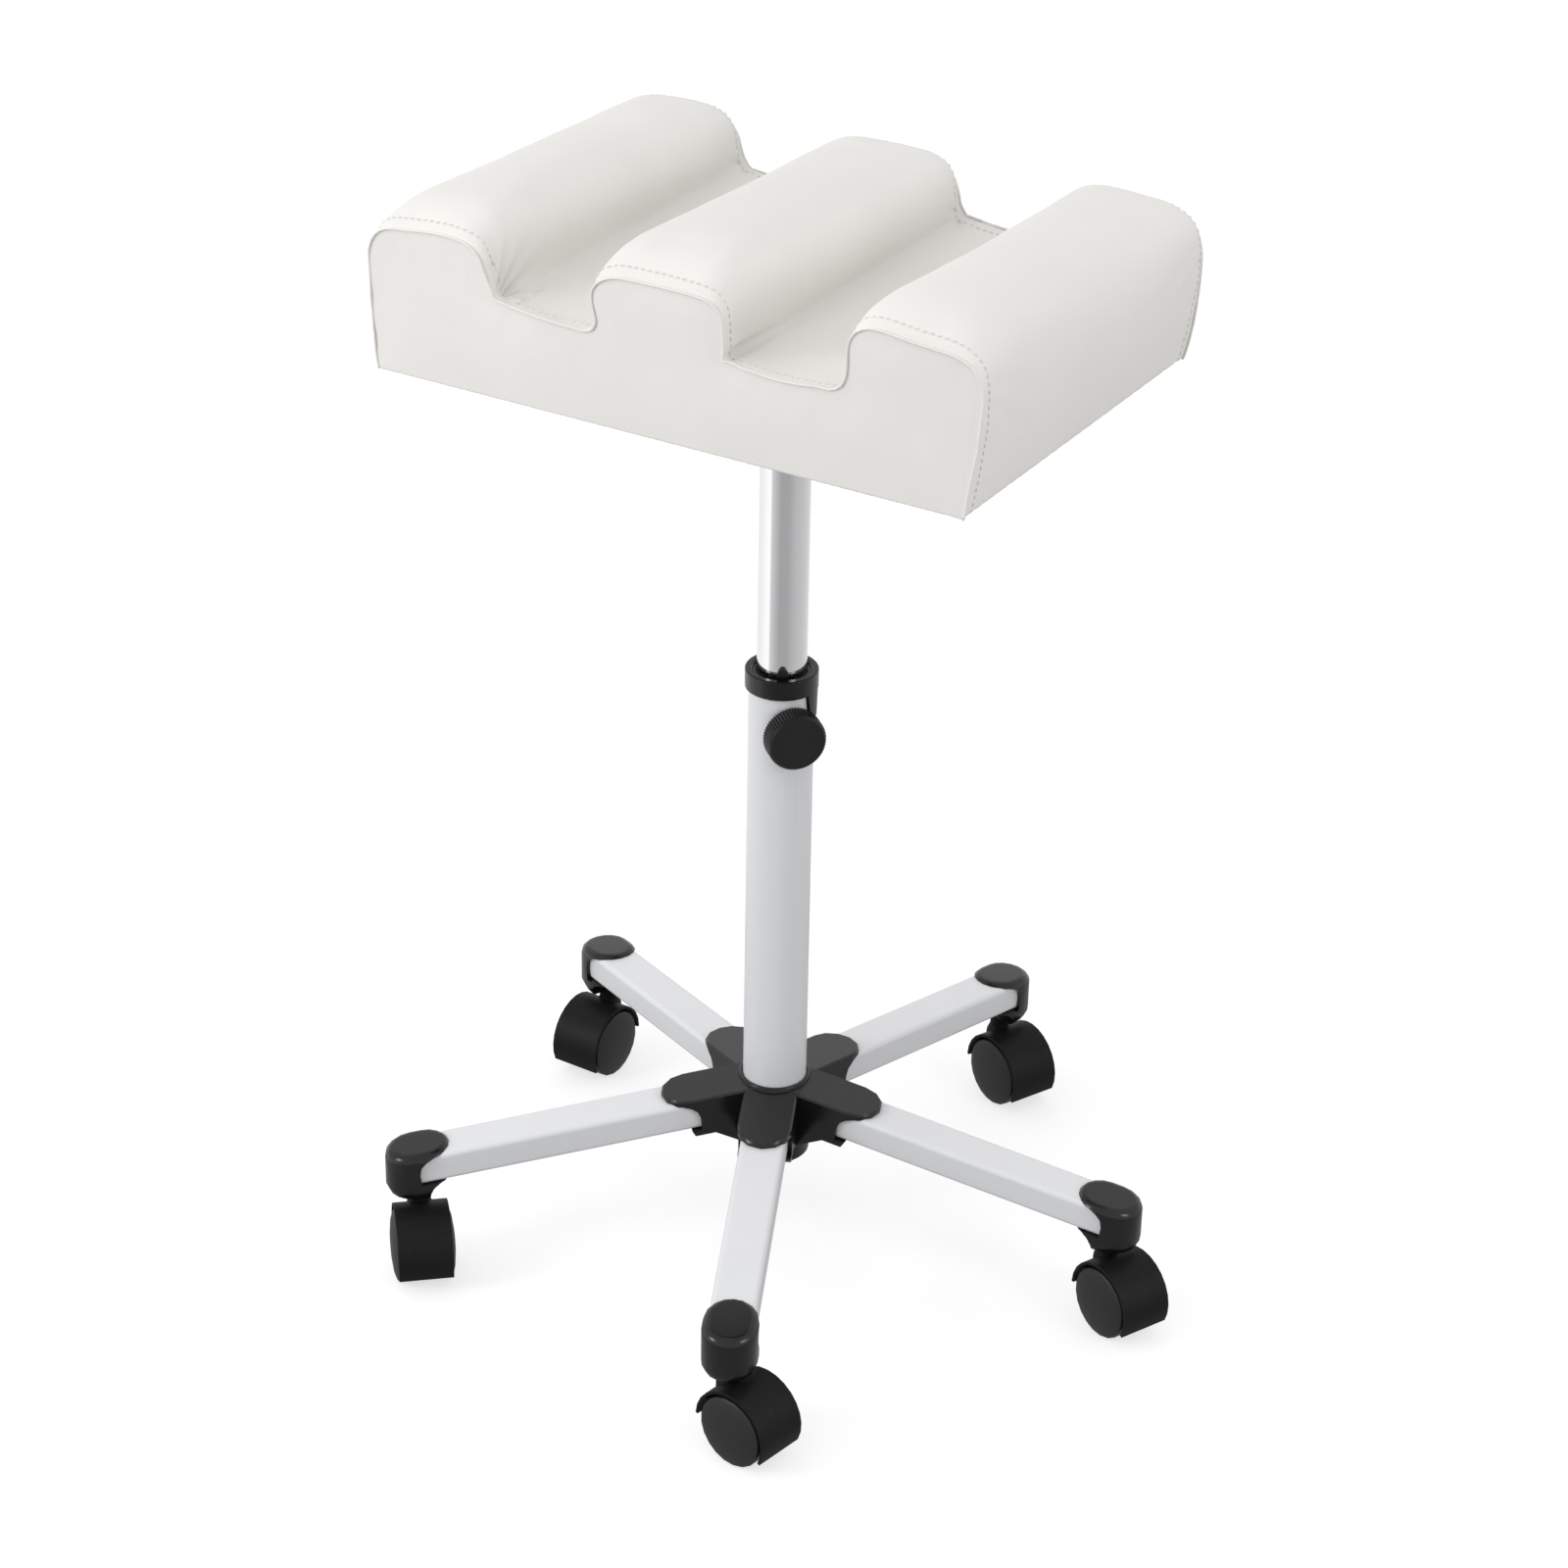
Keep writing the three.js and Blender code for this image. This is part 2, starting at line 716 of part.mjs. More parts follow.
function addColumnFoot(parent) {
	const plugRadius = outerTubeBore - seatGap;
	const plugTop = outerTubeBottom + plugHeight;
	const plug = pipe(plugRadius, boltRadius + seatGap, outerTubeBottom, plugTop, roundSteps);
	addMesh(parent, 'tube_foot_plug', plug, zincSteel);
	const washerTop = hubFloorBottom - seatGap;
	const washerBottom = washerTop - washerThickness;
	const washer = pipe(washerRadius, boltRadius + seatGap, washerBottom, washerTop, smallRoundSteps);
	addMesh(parent, 'hub_washer', washer, zincSteel);
	const headTop = washerBottom - seatGap;
	const head = rod(boltHeadRadius, headTop - boltHead, headTop, boltHeadSides);
	const shank = rod(boltRadius, headTop - boltHead / 2, headTop + boltLength, smallRoundSteps);
	addMesh(parent, 'hub_bolt', geometryOf(join([head, shank])), zincSteel);
}

// Outer tube and clamp

function alongKnobAxis(geometry) {
	const turn = THREE.MathUtils.degToRad(knobAngle);
	return geometry.rotateY(Math.PI / 2).rotateZ(turn).translate(0, 0, knobHeight);
}

function addOuterTube(parent) {
	const tube = join([pipe(outerTubeRadius, outerTubeBore, outerTubeBottom, outerTubeTop, roundSteps)]);
	const hole = alongKnobAxis(rod(nutRadius + seatGap, 0, outerTubeRadius + cutOver, smallRoundSteps));
	addMesh(parent, 'outer_tube', geometryOf(cut(tube, [hole])), whiteEnamel);
}

function makeClampNut() {
	const inner = outerTubeRadius - clampNutBite;
	const flangeBack = outerTubeRadius + seatGap;
	const flangeFront = flangeBack + clampNutFlangeThickness;
	return alongKnobAxis(turned([
		[nutBore, inner],
		[nutRadius, inner],
		[nutRadius, flangeBack],
		[clampNutFlange, flangeBack],
		[clampNutFlange, flangeFront],
		[nutBore, flangeFront],
		[nutBore, inner],
	], smallRoundSteps));
}

function knobRing(outer, inner, height) {
	const ring = [];
	for (let i = 0; i < 2 * knobFluteCount; i++) {
		const angle = Math.PI * i / knobFluteCount;
		const radius = i % 2 ? inner : outer;
		ring.push(new THREE.Vector3(radius * Math.cos(angle), radius * Math.sin(angle), height));
	}
	return ring;
}

function makeKnob() {
	const valley = knobRadius - knobFluteDepth;
	const front = knobBack + knobThickness;
	const rim = knobFaceRadius - knobFaceEdge;
	const body = loft([
		knobRing(knobRadius, valley, knobBack),
		knobRing(knobRadius, valley, front - 2 * knobFaceEdge),
		knobRing(knobFaceRadius, knobFaceRadius, front - knobFaceEdge),
		knobRing(rim, rim, front),
	], planPoint);
	const socketEnd = knobBack + clampScrewBite + seatGap;
	const socket = rod(clampScrewRadius + seatGap, knobBack - cutOver, socketEnd, smallRoundSteps);
	return alongKnobAxis(geometryOf(cut(join([body]), [socket])));
}

function addClamp(parent) {
	addMesh(parent, 'clamp_nut', makeClampNut(), zincSteel);
	const pad = rod(clampPadRadius, clampPadFace, clampPadBack, smallRoundSteps);
	addMesh(parent, 'clamp_pad', alongKnobAxis(pad), paleNylon);
	const screw = rod(clampScrewRadius, clampPadBack + seatGap, knobBack + clampScrewBite, smallRoundSteps);
	addMesh(parent, 'clamp_screw', alongKnobAxis(screw), zincSteel);
	addMesh(parent, 'knob', makeKnob(), glossPlastic);
}

// Collar: a cap on the outer tube with a guide sleeve, a lug down the outer tube and a pointer
// up the inner tube.

function collarBody() {
	const skirtBore = outerTubeRadius + seatGap;
	const sleeve = outerTubeBore - seatGap;
	const skirtBottom = outerTubeTop - collarSkirt;
	const sleeveBottom = outerTubeTop - sleeveLength;
	const roofUnderside = outerTubeTop + seatGap;
	const stepRadius = collarBore + pointerThickness;
	return turned([
		[collarBore, sleeveBottom],
		[sleeve, sleeveBottom],
		[sleeve, roofUnderside],
		[skirtBore, roofUnderside],
		[skirtBore, skirtBottom],
		[collarRadius, skirtBottom],
		[collarRadius, collarHeight - collarBevel],
		[collarRadius - collarBevel, collarHeight],
		[stepRadius + collarStepWall, collarHeight],
		[stepRadius, collarHeight - collarStep / 2],
		[stepRadius, collarHeight - collarStep],
		[collarBore, collarHeight - collarStep],
		[collarBore, sleeveBottom],
	], roundSteps);
}

function collarLug() {
	const top = outerTubeTop - collarSkirt / 2;
	const bottom = outerTubeTop - collarSkirt - lugLength;
	const wall = pipe(collarRadius, outerTubeRadius + seatGap, bottom, top, roundSteps);
	const half = lugWidth / 2;
	const tip = half * lugTipShare;
	const shape = new THREE.Shape();
	shape.moveTo(tip, -cutOver);
	shape.lineTo(half, lugLength);
	shape.lineTo(half, top - bottom + cutOver);
	shape.lineTo(-half, top - bottom + cutOver);
	shape.lineTo(-half, lugLength);
	shape.lineTo(-tip, -cutOver);
	const outline = outwardSlab(shape, 2 * collarRadius, 1).translate(0, 0, bottom);
	return solidOf(wall).intersect(solidOf(outline.rotateZ(THREE.MathUtils.degToRad(lugAngle))));
}

function collarPointer() {
	const base = collarHeight - 2 * collarStep;
	const top = collarHeight + pointerRise;
	const wall = pipe(collarBore + pointerThickness, collarBore, base, top, roundSteps);
	const half = pointerWidth / 2;
	const rise = top - base;
	const shape = new THREE.Shape();
	shape.moveTo(half, -cutOver);
	shape.lineTo(half, rise / 2);
	shape.quadraticCurveTo(half, rise, 0, rise);
	shape.quadraticCurveTo(-half, rise, -half, rise / 2);
	shape.lineTo(-half, -cutOver);
	const outline = outwardSlab(shape, 2 * collarRadius, arcSteps).translate(0, 0, base);
	return solidOf(wall).intersect(solidOf(outline.rotateZ(THREE.MathUtils.degToRad(pointerAngle))));
}

function addCollar(parent) {
	const collar = solidOf(collarBody()).add(collarLug()).add(collarPointer());
	addMesh(parent, 'collar', geometryOf(collar), glossPlastic);
}

// Sliding column

function addSlidingColumn(parent) {
	const bush = outerTubeBore - runGap;
	const top = innerTubeBottom - seatGap;
	const bottom = top - bushLength;
	const spigot = innerTubeBore - seatGap;
	const guide = turned([
		[bushBoreRadius, bottom],
		[bush - bushEdge, bottom],
		[bush, bottom + bushEdge],
		[bush, top],
		[spigot, top],
		[spigot, top + bushSpigot],
		[bushBoreRadius, top + bushSpigot],
		[bushBoreRadius, bottom],
	], roundSteps);
	addMesh(parent, 'inner_guide_bush', guide, blackPlastic);
	const tube = pipe(innerTubeRadius, innerTubeBore, innerTubeBottom, innerTubeTop, roundSteps);
	addMesh(parent, 'inner_tube', tube, chromePlate);
}

// Plate, screws and board

function plateScrewPlaces() {
	const x = plateWidth / 2 - plateScrewMargin;
	const y = plateDepth / 2 - plateScrewMargin;
	return [[-x, -y], [x, -y], [x, y], [-x, y]];
}

function plateScrewHoles(bottom, top) {
	const radius = plateScrewRadius + seatGap;
	return plateScrewPlaces().map(([x, y]) => rod(radius, bottom, top, screwSteps).translate(x, y, 0));
}

function addPlate(parent) {
	const outline = roundedRectangle(plateWidth, plateDepth, plateCorner);
	const flat = slab(outline, plateUnderside, plateThickness, 2 * cornerSteps);
	const bore = innerTubeRadius + seatGap;
	const socketBottom = plateUnderside - plateCollarHeight;
	const socketTop = plateUnderside + plateThickness / 2;
	const socket = pipe(bore + plateCollarWall, bore, socketBottom, socketTop, roundSteps);
	const holes = plateScrewHoles(plateUnderside - cutOver, padUnderside + cutOver);
	addMesh(parent, 'mounting_plate', geometryOf(cut(join([flat, socket]), holes)), zincSteel);
	const headTop = plateUnderside - seatGap;
	plateScrewPlaces().forEach(([x, y], i) => {
		const screw = panScrew(plateScrewHeadRadius, plateScrewHead, plateScrewRadius, headTop, plateScrewLength);
		addMesh(parent, `plate_screw_${i + 1}`, screw.translate(x, y, 0), zincSteel);
	});
}

function boardForm(grow, bottom, top) {
	const width = padWidth - 2 * boardMargin + 2 * grow;
	const depth = padDepth - 2 * boardMargin + 2 * grow;
	return slab(roundedRectangle(width, depth, boardCorner), bottom, top - bottom, 2 * cornerSteps);
}

function addBoard(parent) {
	const holes = plateScrewHoles(padUnderside - cutOver, plateUnderside + plateScrewLength + seatGap);
	const board = cut(join([boardForm(0, padUnderside, padUnderside + boardThickness)]), holes);
	addMesh(parent, 'cushion_board', geometryOf(board), birchPly);
}

// Pad: sections in X and Z, laid out along Y

// How far a ridge has come up to its full height at a place between the pad's ends, from 0 to 1.
function endRiseShare(y) {
	const run = Math.min(1, (padDepth / 2 - Math.abs(y)) / ridgeEndRun);
	return Math.sqrt(1 - (1 - run) ** 2);
}

function ridgePoints(left, right, y) {
	const rise = endRiseShare(y);
	const fall = ridgeBackFall * (y / padDepth + 1 / 2);
	const crest = ridgeHeight - ridgeCrown - ridgeEndDrop * (1 - rise) - fall;
	const radius = ridgeEndShoulder + (ridgeShoulder - ridgeEndShoulder) * rise;
	const shoulder = (centre, from) => {
		const points = [];
		for (let i = 0; i <= shoulderSteps; i++) {
			const angle = from - Math.PI / 2 * i / shoulderSteps;
			points.push([centre + radius * Math.cos(angle), crest - radius * (1 - Math.sin(angle))]);
		}
		return points;
	};
	return [
		...shoulder(left + radius, Math.PI),
		[(left + right) / 2, crest + ridgeCrown],
		...shoulder(right - radius, Math.PI / 2),
	];
}

function channelPoints(left, right) {
	return [
		[left, channelHeight + channelCorner],
		[left + channelCorner, channelHeight],
		[(left + right) / 2, channelHeight - channelSag],
		[right - channelCorner, channelHeight],
		[right, channelHeight + channelCorner],
	];
}

function padSection(y) {
	const half = padWidth / 2;
	const edge = half + padSideBulge;
	const wallTop = channelHeight + channelCorner;
	const ridges = [
		[-edge, -edge + ridgeWidth],
		[middleRidgeShift - ridgeWidth / 2, middleRidgeShift + ridgeWidth / 2],
		[edge - ridgeWidth, edge],
	];
	const outline = [
		[half - padFoldRound, 0],
		[-half + padFoldRound, 0],
		[-half, padFoldRound],
		[-edge, wallTop],
		...ridgePoints(...ridges[0], y),
		...channelPoints(ridges[0][1], ridges[1][0]),
		...ridgePoints(...ridges[1], y),
		...channelPoints(ridges[1][1], ridges[2][0]),
		...ridgePoints(...ridges[2], y),
		[edge, wallTop],
		[half, padFoldRound],
	];
	const side = Math.sign(y) * (2 * Math.abs(y) / padDepth) ** padEndPower;
	return outline.map(([x, z]) => {
		const bulge = padEndBulge * Math.sin(Math.PI * Math.min(1, z / ridgeHeight));
		return new THREE.Vector3(x, y + side * bulge, padUnderside + z);
	});
}

function addCushion(parent) {
	const places = [];
	for (let i = 0; i <= endSteps; i++) {
		const angle = Math.PI / 2 * i / endSteps;
		places.push(padDepth / 2 - ridgeEndRun * (1 - Math.cos(angle)));
	}
	const sections = [...places.map((place) => -place), 0, ...places.reverse()].map(padSection);
	const body = loft(sections, (point) => new THREE.Vector2(-point.x, point.z));
	const pocket = boardForm(seatGap, padUnderside - cutOver, padUnderside + boardThickness + seatGap);
	addMesh(parent, 'cushion', geometryOf(cut(join([body]), [pocket])), whiteLeather);
}

const assembly = new THREE.Group();
addBase(assembly);
addColumnFoot(assembly);
addOuterTube(assembly);
addClamp(assembly);
addCollar(assembly);
addSlidingColumn(assembly);
addPlate(assembly);
addBoard(assembly);
addCushion(assembly);

// The origin is the middle of the outer box at the floor.
const stool = new THREE.Group();
const bounds = new THREE.Box3().setFromObject(assembly, true);
const middle = bounds.getCenter(new THREE.Vector3());
assembly.position.set(-middle.x, -middle.y, -bounds.min.z);
stool.add(assembly);

export default stool;
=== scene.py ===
"""Pedicure stool: finishes, padded top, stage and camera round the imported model.

The file is laid out as an add-on and run as a script. Lengths are metres and +Z is up.
+X runs along the padded top's width, and +Y from its front to its back.
"""

import math

import bmesh
import bpy
import numpy as np
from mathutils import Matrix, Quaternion, Vector, noise
from mathutils.bvhtree import BVHTree
from mathutils.geometry import delaunay_2d_cdt
from mathutils.kdtree import KDTree


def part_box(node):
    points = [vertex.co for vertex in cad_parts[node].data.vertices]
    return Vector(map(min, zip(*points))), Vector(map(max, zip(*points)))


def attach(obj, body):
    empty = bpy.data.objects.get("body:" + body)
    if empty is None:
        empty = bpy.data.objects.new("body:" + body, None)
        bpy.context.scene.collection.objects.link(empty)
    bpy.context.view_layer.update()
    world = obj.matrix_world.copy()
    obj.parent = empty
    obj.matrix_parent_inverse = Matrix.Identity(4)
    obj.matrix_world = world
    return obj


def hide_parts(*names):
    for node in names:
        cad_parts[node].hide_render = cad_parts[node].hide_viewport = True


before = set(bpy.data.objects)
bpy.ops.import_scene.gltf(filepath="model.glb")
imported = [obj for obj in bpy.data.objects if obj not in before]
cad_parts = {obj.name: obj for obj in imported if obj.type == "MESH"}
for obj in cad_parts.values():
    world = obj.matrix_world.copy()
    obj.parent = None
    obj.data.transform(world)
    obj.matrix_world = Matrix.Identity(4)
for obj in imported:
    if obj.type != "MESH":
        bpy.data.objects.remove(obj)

bl_info = {
    "name": "Pedicure stool",
    "version": (1, 0, 0),
    "blender": (4, 5, 0),
    "location": "3D View > Sidebar > Pedicure stool",
    "description": "Finishes the packed pedicure stool and upholsters its padded top",
    "category": "Object",
}

MM = 0.001

# The padded top's outline in X and Z, in millimetres from the middle of its underside.
# Each section has five runs, left to right: ridge, channel, ridge, channel, ridge. Each run
# starts where the one before it ends.
FRONT_SECTION = (
    ((-182.6, 0), (-184.3, 20), (-185.8, 52), (-185.3, 71), (-178, 80.5), (-157, 84.5), (-136, 86),
     (-123, 84.2), (-116.5, 80), (-111, 69), (-105.2, 56.6)),
    ((-78, 53.2), (-49.7, 51.7)),
    ((-44, 53.6), (-41.9, 58.4), (-43.3, 66), (-44.1, 73.6), (-40.9, 79.7), (-31.9, 84.6), (-7, 86.2),
     (18.7, 85.6), (27.5, 84), (33, 79), (35.2, 70), (35.4, 54)),
    ((68, 51.2), (99, 53)),
    ((104.8, 55.6), (108, 62), (108.9, 72), (109.4, 79.5), (112.5, 86), (120.5, 90.4), (148, 88.7),
     (172, 85.9), (180.5, 81.2), (185.2, 72.3), (184.8, 48), (181, 20), (177.8, 0)),
)
MIDDLE_SECTION = (
    ((-182.6, 0), (-184.3, 20), (-186, 52), (-185.5, 69), (-182.5, 81.2), (-175, 90), (-163, 95),
     (-148, 96.9), (-131, 97), (-119.5, 95.1), (-111.5, 89.6), (-107.5, 80.2), (-106, 69), (-105.2, 61.6),
     (-104, 56)),
    ((-76, 52), (-46.5, 52.5)),
    ((-45.4, 61.6), (-45.6, 72.8), (-44, 84), (-39, 92.2), (-29.5, 96.3), (-8, 97.6), (12, 97.4),
     (23.5, 95.9), (31.5, 90.7), (35.4, 81.6), (36.2, 69), (36.3, 53.5)),
    ((70, 50.8), (104, 52.5)),
    ((106.5, 65.3), (107.5, 78.4), (109.5, 87.7), (114.5, 94.7), (123, 98.1), (135, 98.9), (151, 98.1),
     (166.5, 96.1), (177.5, 91.2), (183.8, 82.8), (186, 71.8), (186.2, 52), (181.8, 20), (177.8, 0)),
)
BACK_SECTION = (
    ((-182.6, 0), (-184.3, 20), (-185.6, 50), (-184.8, 68), (-180, 77), (-170, 81.5), (-150, 83.2),
     (-128, 83), (-117.5, 80.6), (-111, 74.8), (-108, 67), (-105, 59.5), (-101, 54.8)),
    ((-74, 51.6), (-45, 52.6)),
    ((-45, 65), (-43, 75.5), (-36, 81.5), (-15, 83.2), (8, 83), (22.5, 81.2), (30.5, 76.2), (34.2, 67.5),
     (36, 60.5), (40, 55)),
    ((70, 51.6), (102, 52.6)),
    ((104, 67), (107, 76.5), (115, 82), (130, 83.8), (152, 83.6), (169, 81.5), (179.5, 76.5), (183.6, 67),
     (184.4, 50), (181.8, 20), (177.8, 0)),
)
RUN_STEPS = (46, 14, 44, 15, 48)
CHANNEL_RUNS = (1, 3)

# How the cover's net is made.
SPAN_STEPS = 24  # fine points between two given points of a section
ARC_STEPS = 40  # fine lines over the rounded front and back ends of the ridges
SEAM_SPACING = (0, 0.24, 0.6, 1, 1.3, 1.8, 2.5)  # rows of the net behind a seam, in stitch insets
STITCH_ROW = SEAM_SPACING.index(1)
SEAM_CRISPNESS = 0.7  # 1 is a sharp edge
CHANNEL_HEIGHT = 56 * MM  # the ridges' feet, above the underside
RIDGE_RISE = 45 * MM
LAP_DEPTH = 0.1  # of the groove beside a seam, in welts
UNDERSIDE_NET = 7 * MM
END_BULGE = 2 * MM  # from the flat of an end panel to the cushion's outer box
BOARD_GAP = 0.3 * MM  # from the board in the underside to the cover
BOARD_CORNER = 14 * MM
WELD_GAP = 0.01 * MM

# How firmly the cover is held while the foam presses on it. 1 is fixed.
FLOOR_HOLD = 0.7
FOOT_HOLD = 0.55
FULL_HOLD_AT = 125 * MM  # from the middle to where a ridge's foot is fixed
CLOTH_FRAMES = 20

# Folds of the sewn cover, by their places in the section.
LEFT_FOOT = (-105 * MM, 56 * MM)  # of the left ridge's right side
MIDDLE_FOOT = (36 * MM, 54.5 * MM)  # of the middle ridge's right side
BACK_FEET = (-104 * MM, 37 * MM)
FAN_DEPTH, PINCH_DEPTH, BACK_FAN_DEPTH = 2.4 * MM, 3.4 * MM, 1.3 * MM
TOP_GATHERS, PANEL_GATHERS = 0.5 * MM, 0.4 * MM  # how deep the gathers beside the seams are
FAN_SIDES = (-135 * MM, -95 * MM)
PINCH_SIDES = (26 * MM, 46 * MM)
PINCH_TOP = 72 * MM
PINCH_WIDTH, PINCH_LENGTH = 3 * MM, 24 * MM
PINCH_MIDDLE = 22 * MM  # from the front seam
BACK_FAN_REACH = 16 * MM  # to each side of a foot
CALM_REACH = 12 * MM  # folds fade out over this distance from a seam
CALM_HEIGHT = 30 * MM  # slow waves fade out below this height
HEM_HEIGHT = 3 * MM  # and nothing is folded below this one

# The net is finer in two boxes that hold the folds. Their left and right sides, their
# distances from the front seam, and their foot:
FOLD_ZONES = ((-136 * MM, -94 * MM), (24 * MM, 50 * MM))
FOLD_DEPTHS = (2 * MM, 62 * MM)
FOLD_FOOT = 46 * MM

# A stitch's thickness along its length, in shares of the thread's, and its bow in thread radii.
STITCH_SHAPE = ((0, 0.45), (0.14, 0.9), (0.5, 1), (0.86, 0.9), (1, 0.45))
STITCH_BOW = 1.1
STITCH_SINK = 0.2
WELT_SPACING = 2 * MM

# The hub's lip: how far its foot flares out in millimetres, at shares of the way down.
LIP_FLARE = ((0, 0), (0.3, 0.45), (0.8, 0.8), (1.8, 1))
LIP_SIDES = 96

# Painted light on the floor round the stool, which only shiny things show, as a share of its brightest part.
# The angles are degrees round the stool from its front right corner: a painted pool of light lies at the
# left.
PAINTED_FLOOR_LIGHT = ((-179, 0.71), (-118, 0.86), (-78, 1), (-64, 1), (-59, 0.62), (-33, 0.45), (-16, 0.365),
               (16, 0.37), (51, 0.47), (91, 0.53), (179, 0.71))
FLOOR_TURN = 59.6  # degrees from where the angles start round to +X
FLOOR_RADIUS = 14
FLOOR_CLOUD_MM = 2000 / 3  # width of the floor's faint clouds
FLOOR_WHITE = 0.66  # the glow that, with the lamps' light, shows the floor white to the camera
PAINTED_SHADE_UNDER_STOOL = (0.35, 0.6)  # the painted shade under the stool, which only shiny things show, fades between these distances from its middle
SIDE_LIGHT = (-0.9, -0.42, 0.1)  # where the extra light from the left comes from
WALL_TO_CEILING = (0.1, 0.45)  # sines of the steepness between which the mirrored wall ends
LAMPS = (("key", (-1, -1.4, 1), 0.55), ("fill", (1.5, -0.2, 1), 0.5))  # setting, place, width
LAMP_AIM = (0, 0, 0.5)
SENSOR_MM = 36


# Settings that a user would change

def linear(hex_colour):
    """An sRGB hex colour as linear red, green, blue and alpha."""
    channels = [int(hex_colour[i:i + 2], 16) / 255 for i in (1, 3, 5)]
    return [c / 12.92 if c <= 0.04045 else ((c + 0.055) / 1.055) ** 2.4 for c in channels] + [1.0]


def colour(name, description, hex_colour):
    """A colour setting with its default."""
    return bpy.props.FloatVectorProperty(
        name=name, description=description, subtype="COLOR", size=4, min=0, max=1,
        default=linear(hex_colour))


def length(name, description, millimetres):
    """A length setting with its default."""
    return number(name, description, millimetres * MM, unit="LENGTH", min=0)


def angle(name, description, degrees):
    """An angle setting with its default."""
    return number(name, description, math.radians(degrees), subtype="ANGLE")


def number(name, description, default, **kind):
    """A plain number setting with its default."""
    return bpy.props.FloatProperty(name=name, description=description, default=default, **kind)


class PadSettings(bpy.types.PropertyGroup):
    """Sizes of the padded top's cover."""

    front_run: length("Front run", "How far a ridge takes to reach its full height from the front", 38)
    back_run: length("Back run", "How far a ridge takes to reach its full height from the back", 15)
    crest_fall: length("Crest fall", "How much lower the ridges are at the back than at the front", 10)
    net: length("Net", "Spacing of the cover's faces", 4.6)
    puff: length("Puff", "How far the foam may push the cover out", 3.2)
    seam_inset: length("Stitch inset", "From the seam to the row of topstitches", 7)
    stitch: length("Stitch", "Length of one topstitch", 3)
    stitch_pitch: length("Stitch pitch", "From one topstitch to the next", 4.2)
    thread: length("Thread", "Thickness of the sewing thread", 0.9)
    welt: length("Welt", "Thickness of the folded edge that shows along a seam", 1.3)


class HubSettings(bpy.types.PropertyGroup):
    """Sizes of the lip round the hub's socket for the column."""

    bore_gap: length("Bore gap", "From the column to the lip", 0.2)
    lip_wall: length("Lip wall", "Thickness of the lip", 2.3)
    lip_rise: length("Lip rise", "How far the lip stands above the hub's flat collar", 1.6)
    lip_depth: length("Lip depth", "How far the lip's foot reaches down into the hub", 4)


class FinishSettings(bpy.types.PropertyGroup):
    """Colours of the stool's finishes."""

    leatherette: colour("Leatherette", "Coated fabric of the padded top", "#E9E7E3")
    thread: colour("Thread", "Sewing thread", "#E8E6E2")
    powder: colour("Powder coat", "Legs and outer tube", "#DDDEE1")
    chrome: colour("Chrome", "Inner tube", "#DCDCDE")
    hub_black: colour("Hub black", "Moulded hub and leg caps", "#0F1011")
    collar_black: colour("Collar black", "Moulded collar", "#0B0C0D")
    caster_black: colour("Caster black", "Caster hoods and wheels", "#141516")
    knob_black: colour("Knob black", "Clamp knob", "#121315")
    zinc: colour("Zinc", "Screws, stems and plate", "#B4B7BA")
    nylon: colour("Nylon", "Clamp pad", "#D9D7CE")
    birch: colour("Birch", "Seat board", "#CDAF82")
    floor: colour("Floor", "Studio floor", "#ABABAB")


# Materials

def add_node(tree, kind, inputs=None, **settings):
    """Adds a shader node, gives it its settings, and sets or links its inputs."""
    made = tree.nodes.new("ShaderNode" + kind)
    for name, value in settings.items():
        setattr(made, name, value)
    for name, value in (inputs or {}).items():
        set_input(tree, made.inputs[name], value)
    return made


def set_input(tree, socket, value):
    """Links a value that comes from another node, and sets a constant on the socket itself."""
    if isinstance(value, bpy.types.NodeSocket):
        tree.links.new(value, socket)
    else:
        socket.default_value = value


def set_shader(tree, **values):
    """Sets or links the sockets of a material's own shader."""
    for name, value in values.items():
        set_input(tree, tree.nodes["Principled BSDF"].inputs[name.replace("_", " ")], value)


def start_material(name):
    """A new node material, its tree, and the place on the piece in metres."""
    material = bpy.data.materials.new(name)
    material.use_nodes = True
    tree = material.node_tree
    place = add_node(tree, "TexCoord").outputs["Object"]
    return material, tree, place


def per(millimetres):
    """The texture scale that makes a feature this many millimetres wide."""
    return 1 / (millimetres * MM)


def tinted(value, share):
    """A colour made lighter, above 1, or darker, below 1."""
    return [min(1, channel * share) for channel in value[:3]] + [1.0]


def clouds(tree, place, millimetres, detail=2, distortion=0):
    """Noise with features this many millimetres wide, from 0 to 1."""
    return add_node(tree, "TexNoise", {
        "Vector": place, "Scale": per(millimetres), "Detail": detail, "Distortion": distortion}).outputs[0]


def stretched(tree, place, scale):
    """The place, counted faster along some of its axes."""
    return add_node(tree, "Mapping", {"Vector": place, "Scale": scale}).outputs[0]


def spread(tree, value, low, high, start=0, end=1, **settings):
    """A value that goes from low to high while the given one goes from start to end."""
    return add_node(tree, "MapRange", {
        "Value": value, "From Min": start, "From Max": end, "To Min": low, "To Max": high},
        **settings).outputs[0]


def reckoned(tree, operation, first, second=0.5):
    """The result of one step of arithmetic on one or two values."""
    return add_node(tree, "Math", {0: first, 1: second}, operation=operation).outputs[0]


def relief(tree, height, strength, millimetres, **settings):
    """Small bumps of this depth at full strength, from a pattern of heights."""
    return add_node(tree, "Bump", {
        "Height": height, "Strength": strength, "Distance": millimetres * MM}, **settings).outputs[0]


def blend_colours(tree, share, first, second):
    """The mix of two colours by a share from 0 to 1."""
    return add_node(tree, "Mix", {0: share, 6: first, 7: second}, data_type="RGBA").outputs[2]


def toned(tree, share, value, low, high=1):
    """A colour that goes from a darker to a lighter tone of itself by a share from 0 to 1."""
    return blend_colours(tree, share, tinted(value, low), tinted(value, high))


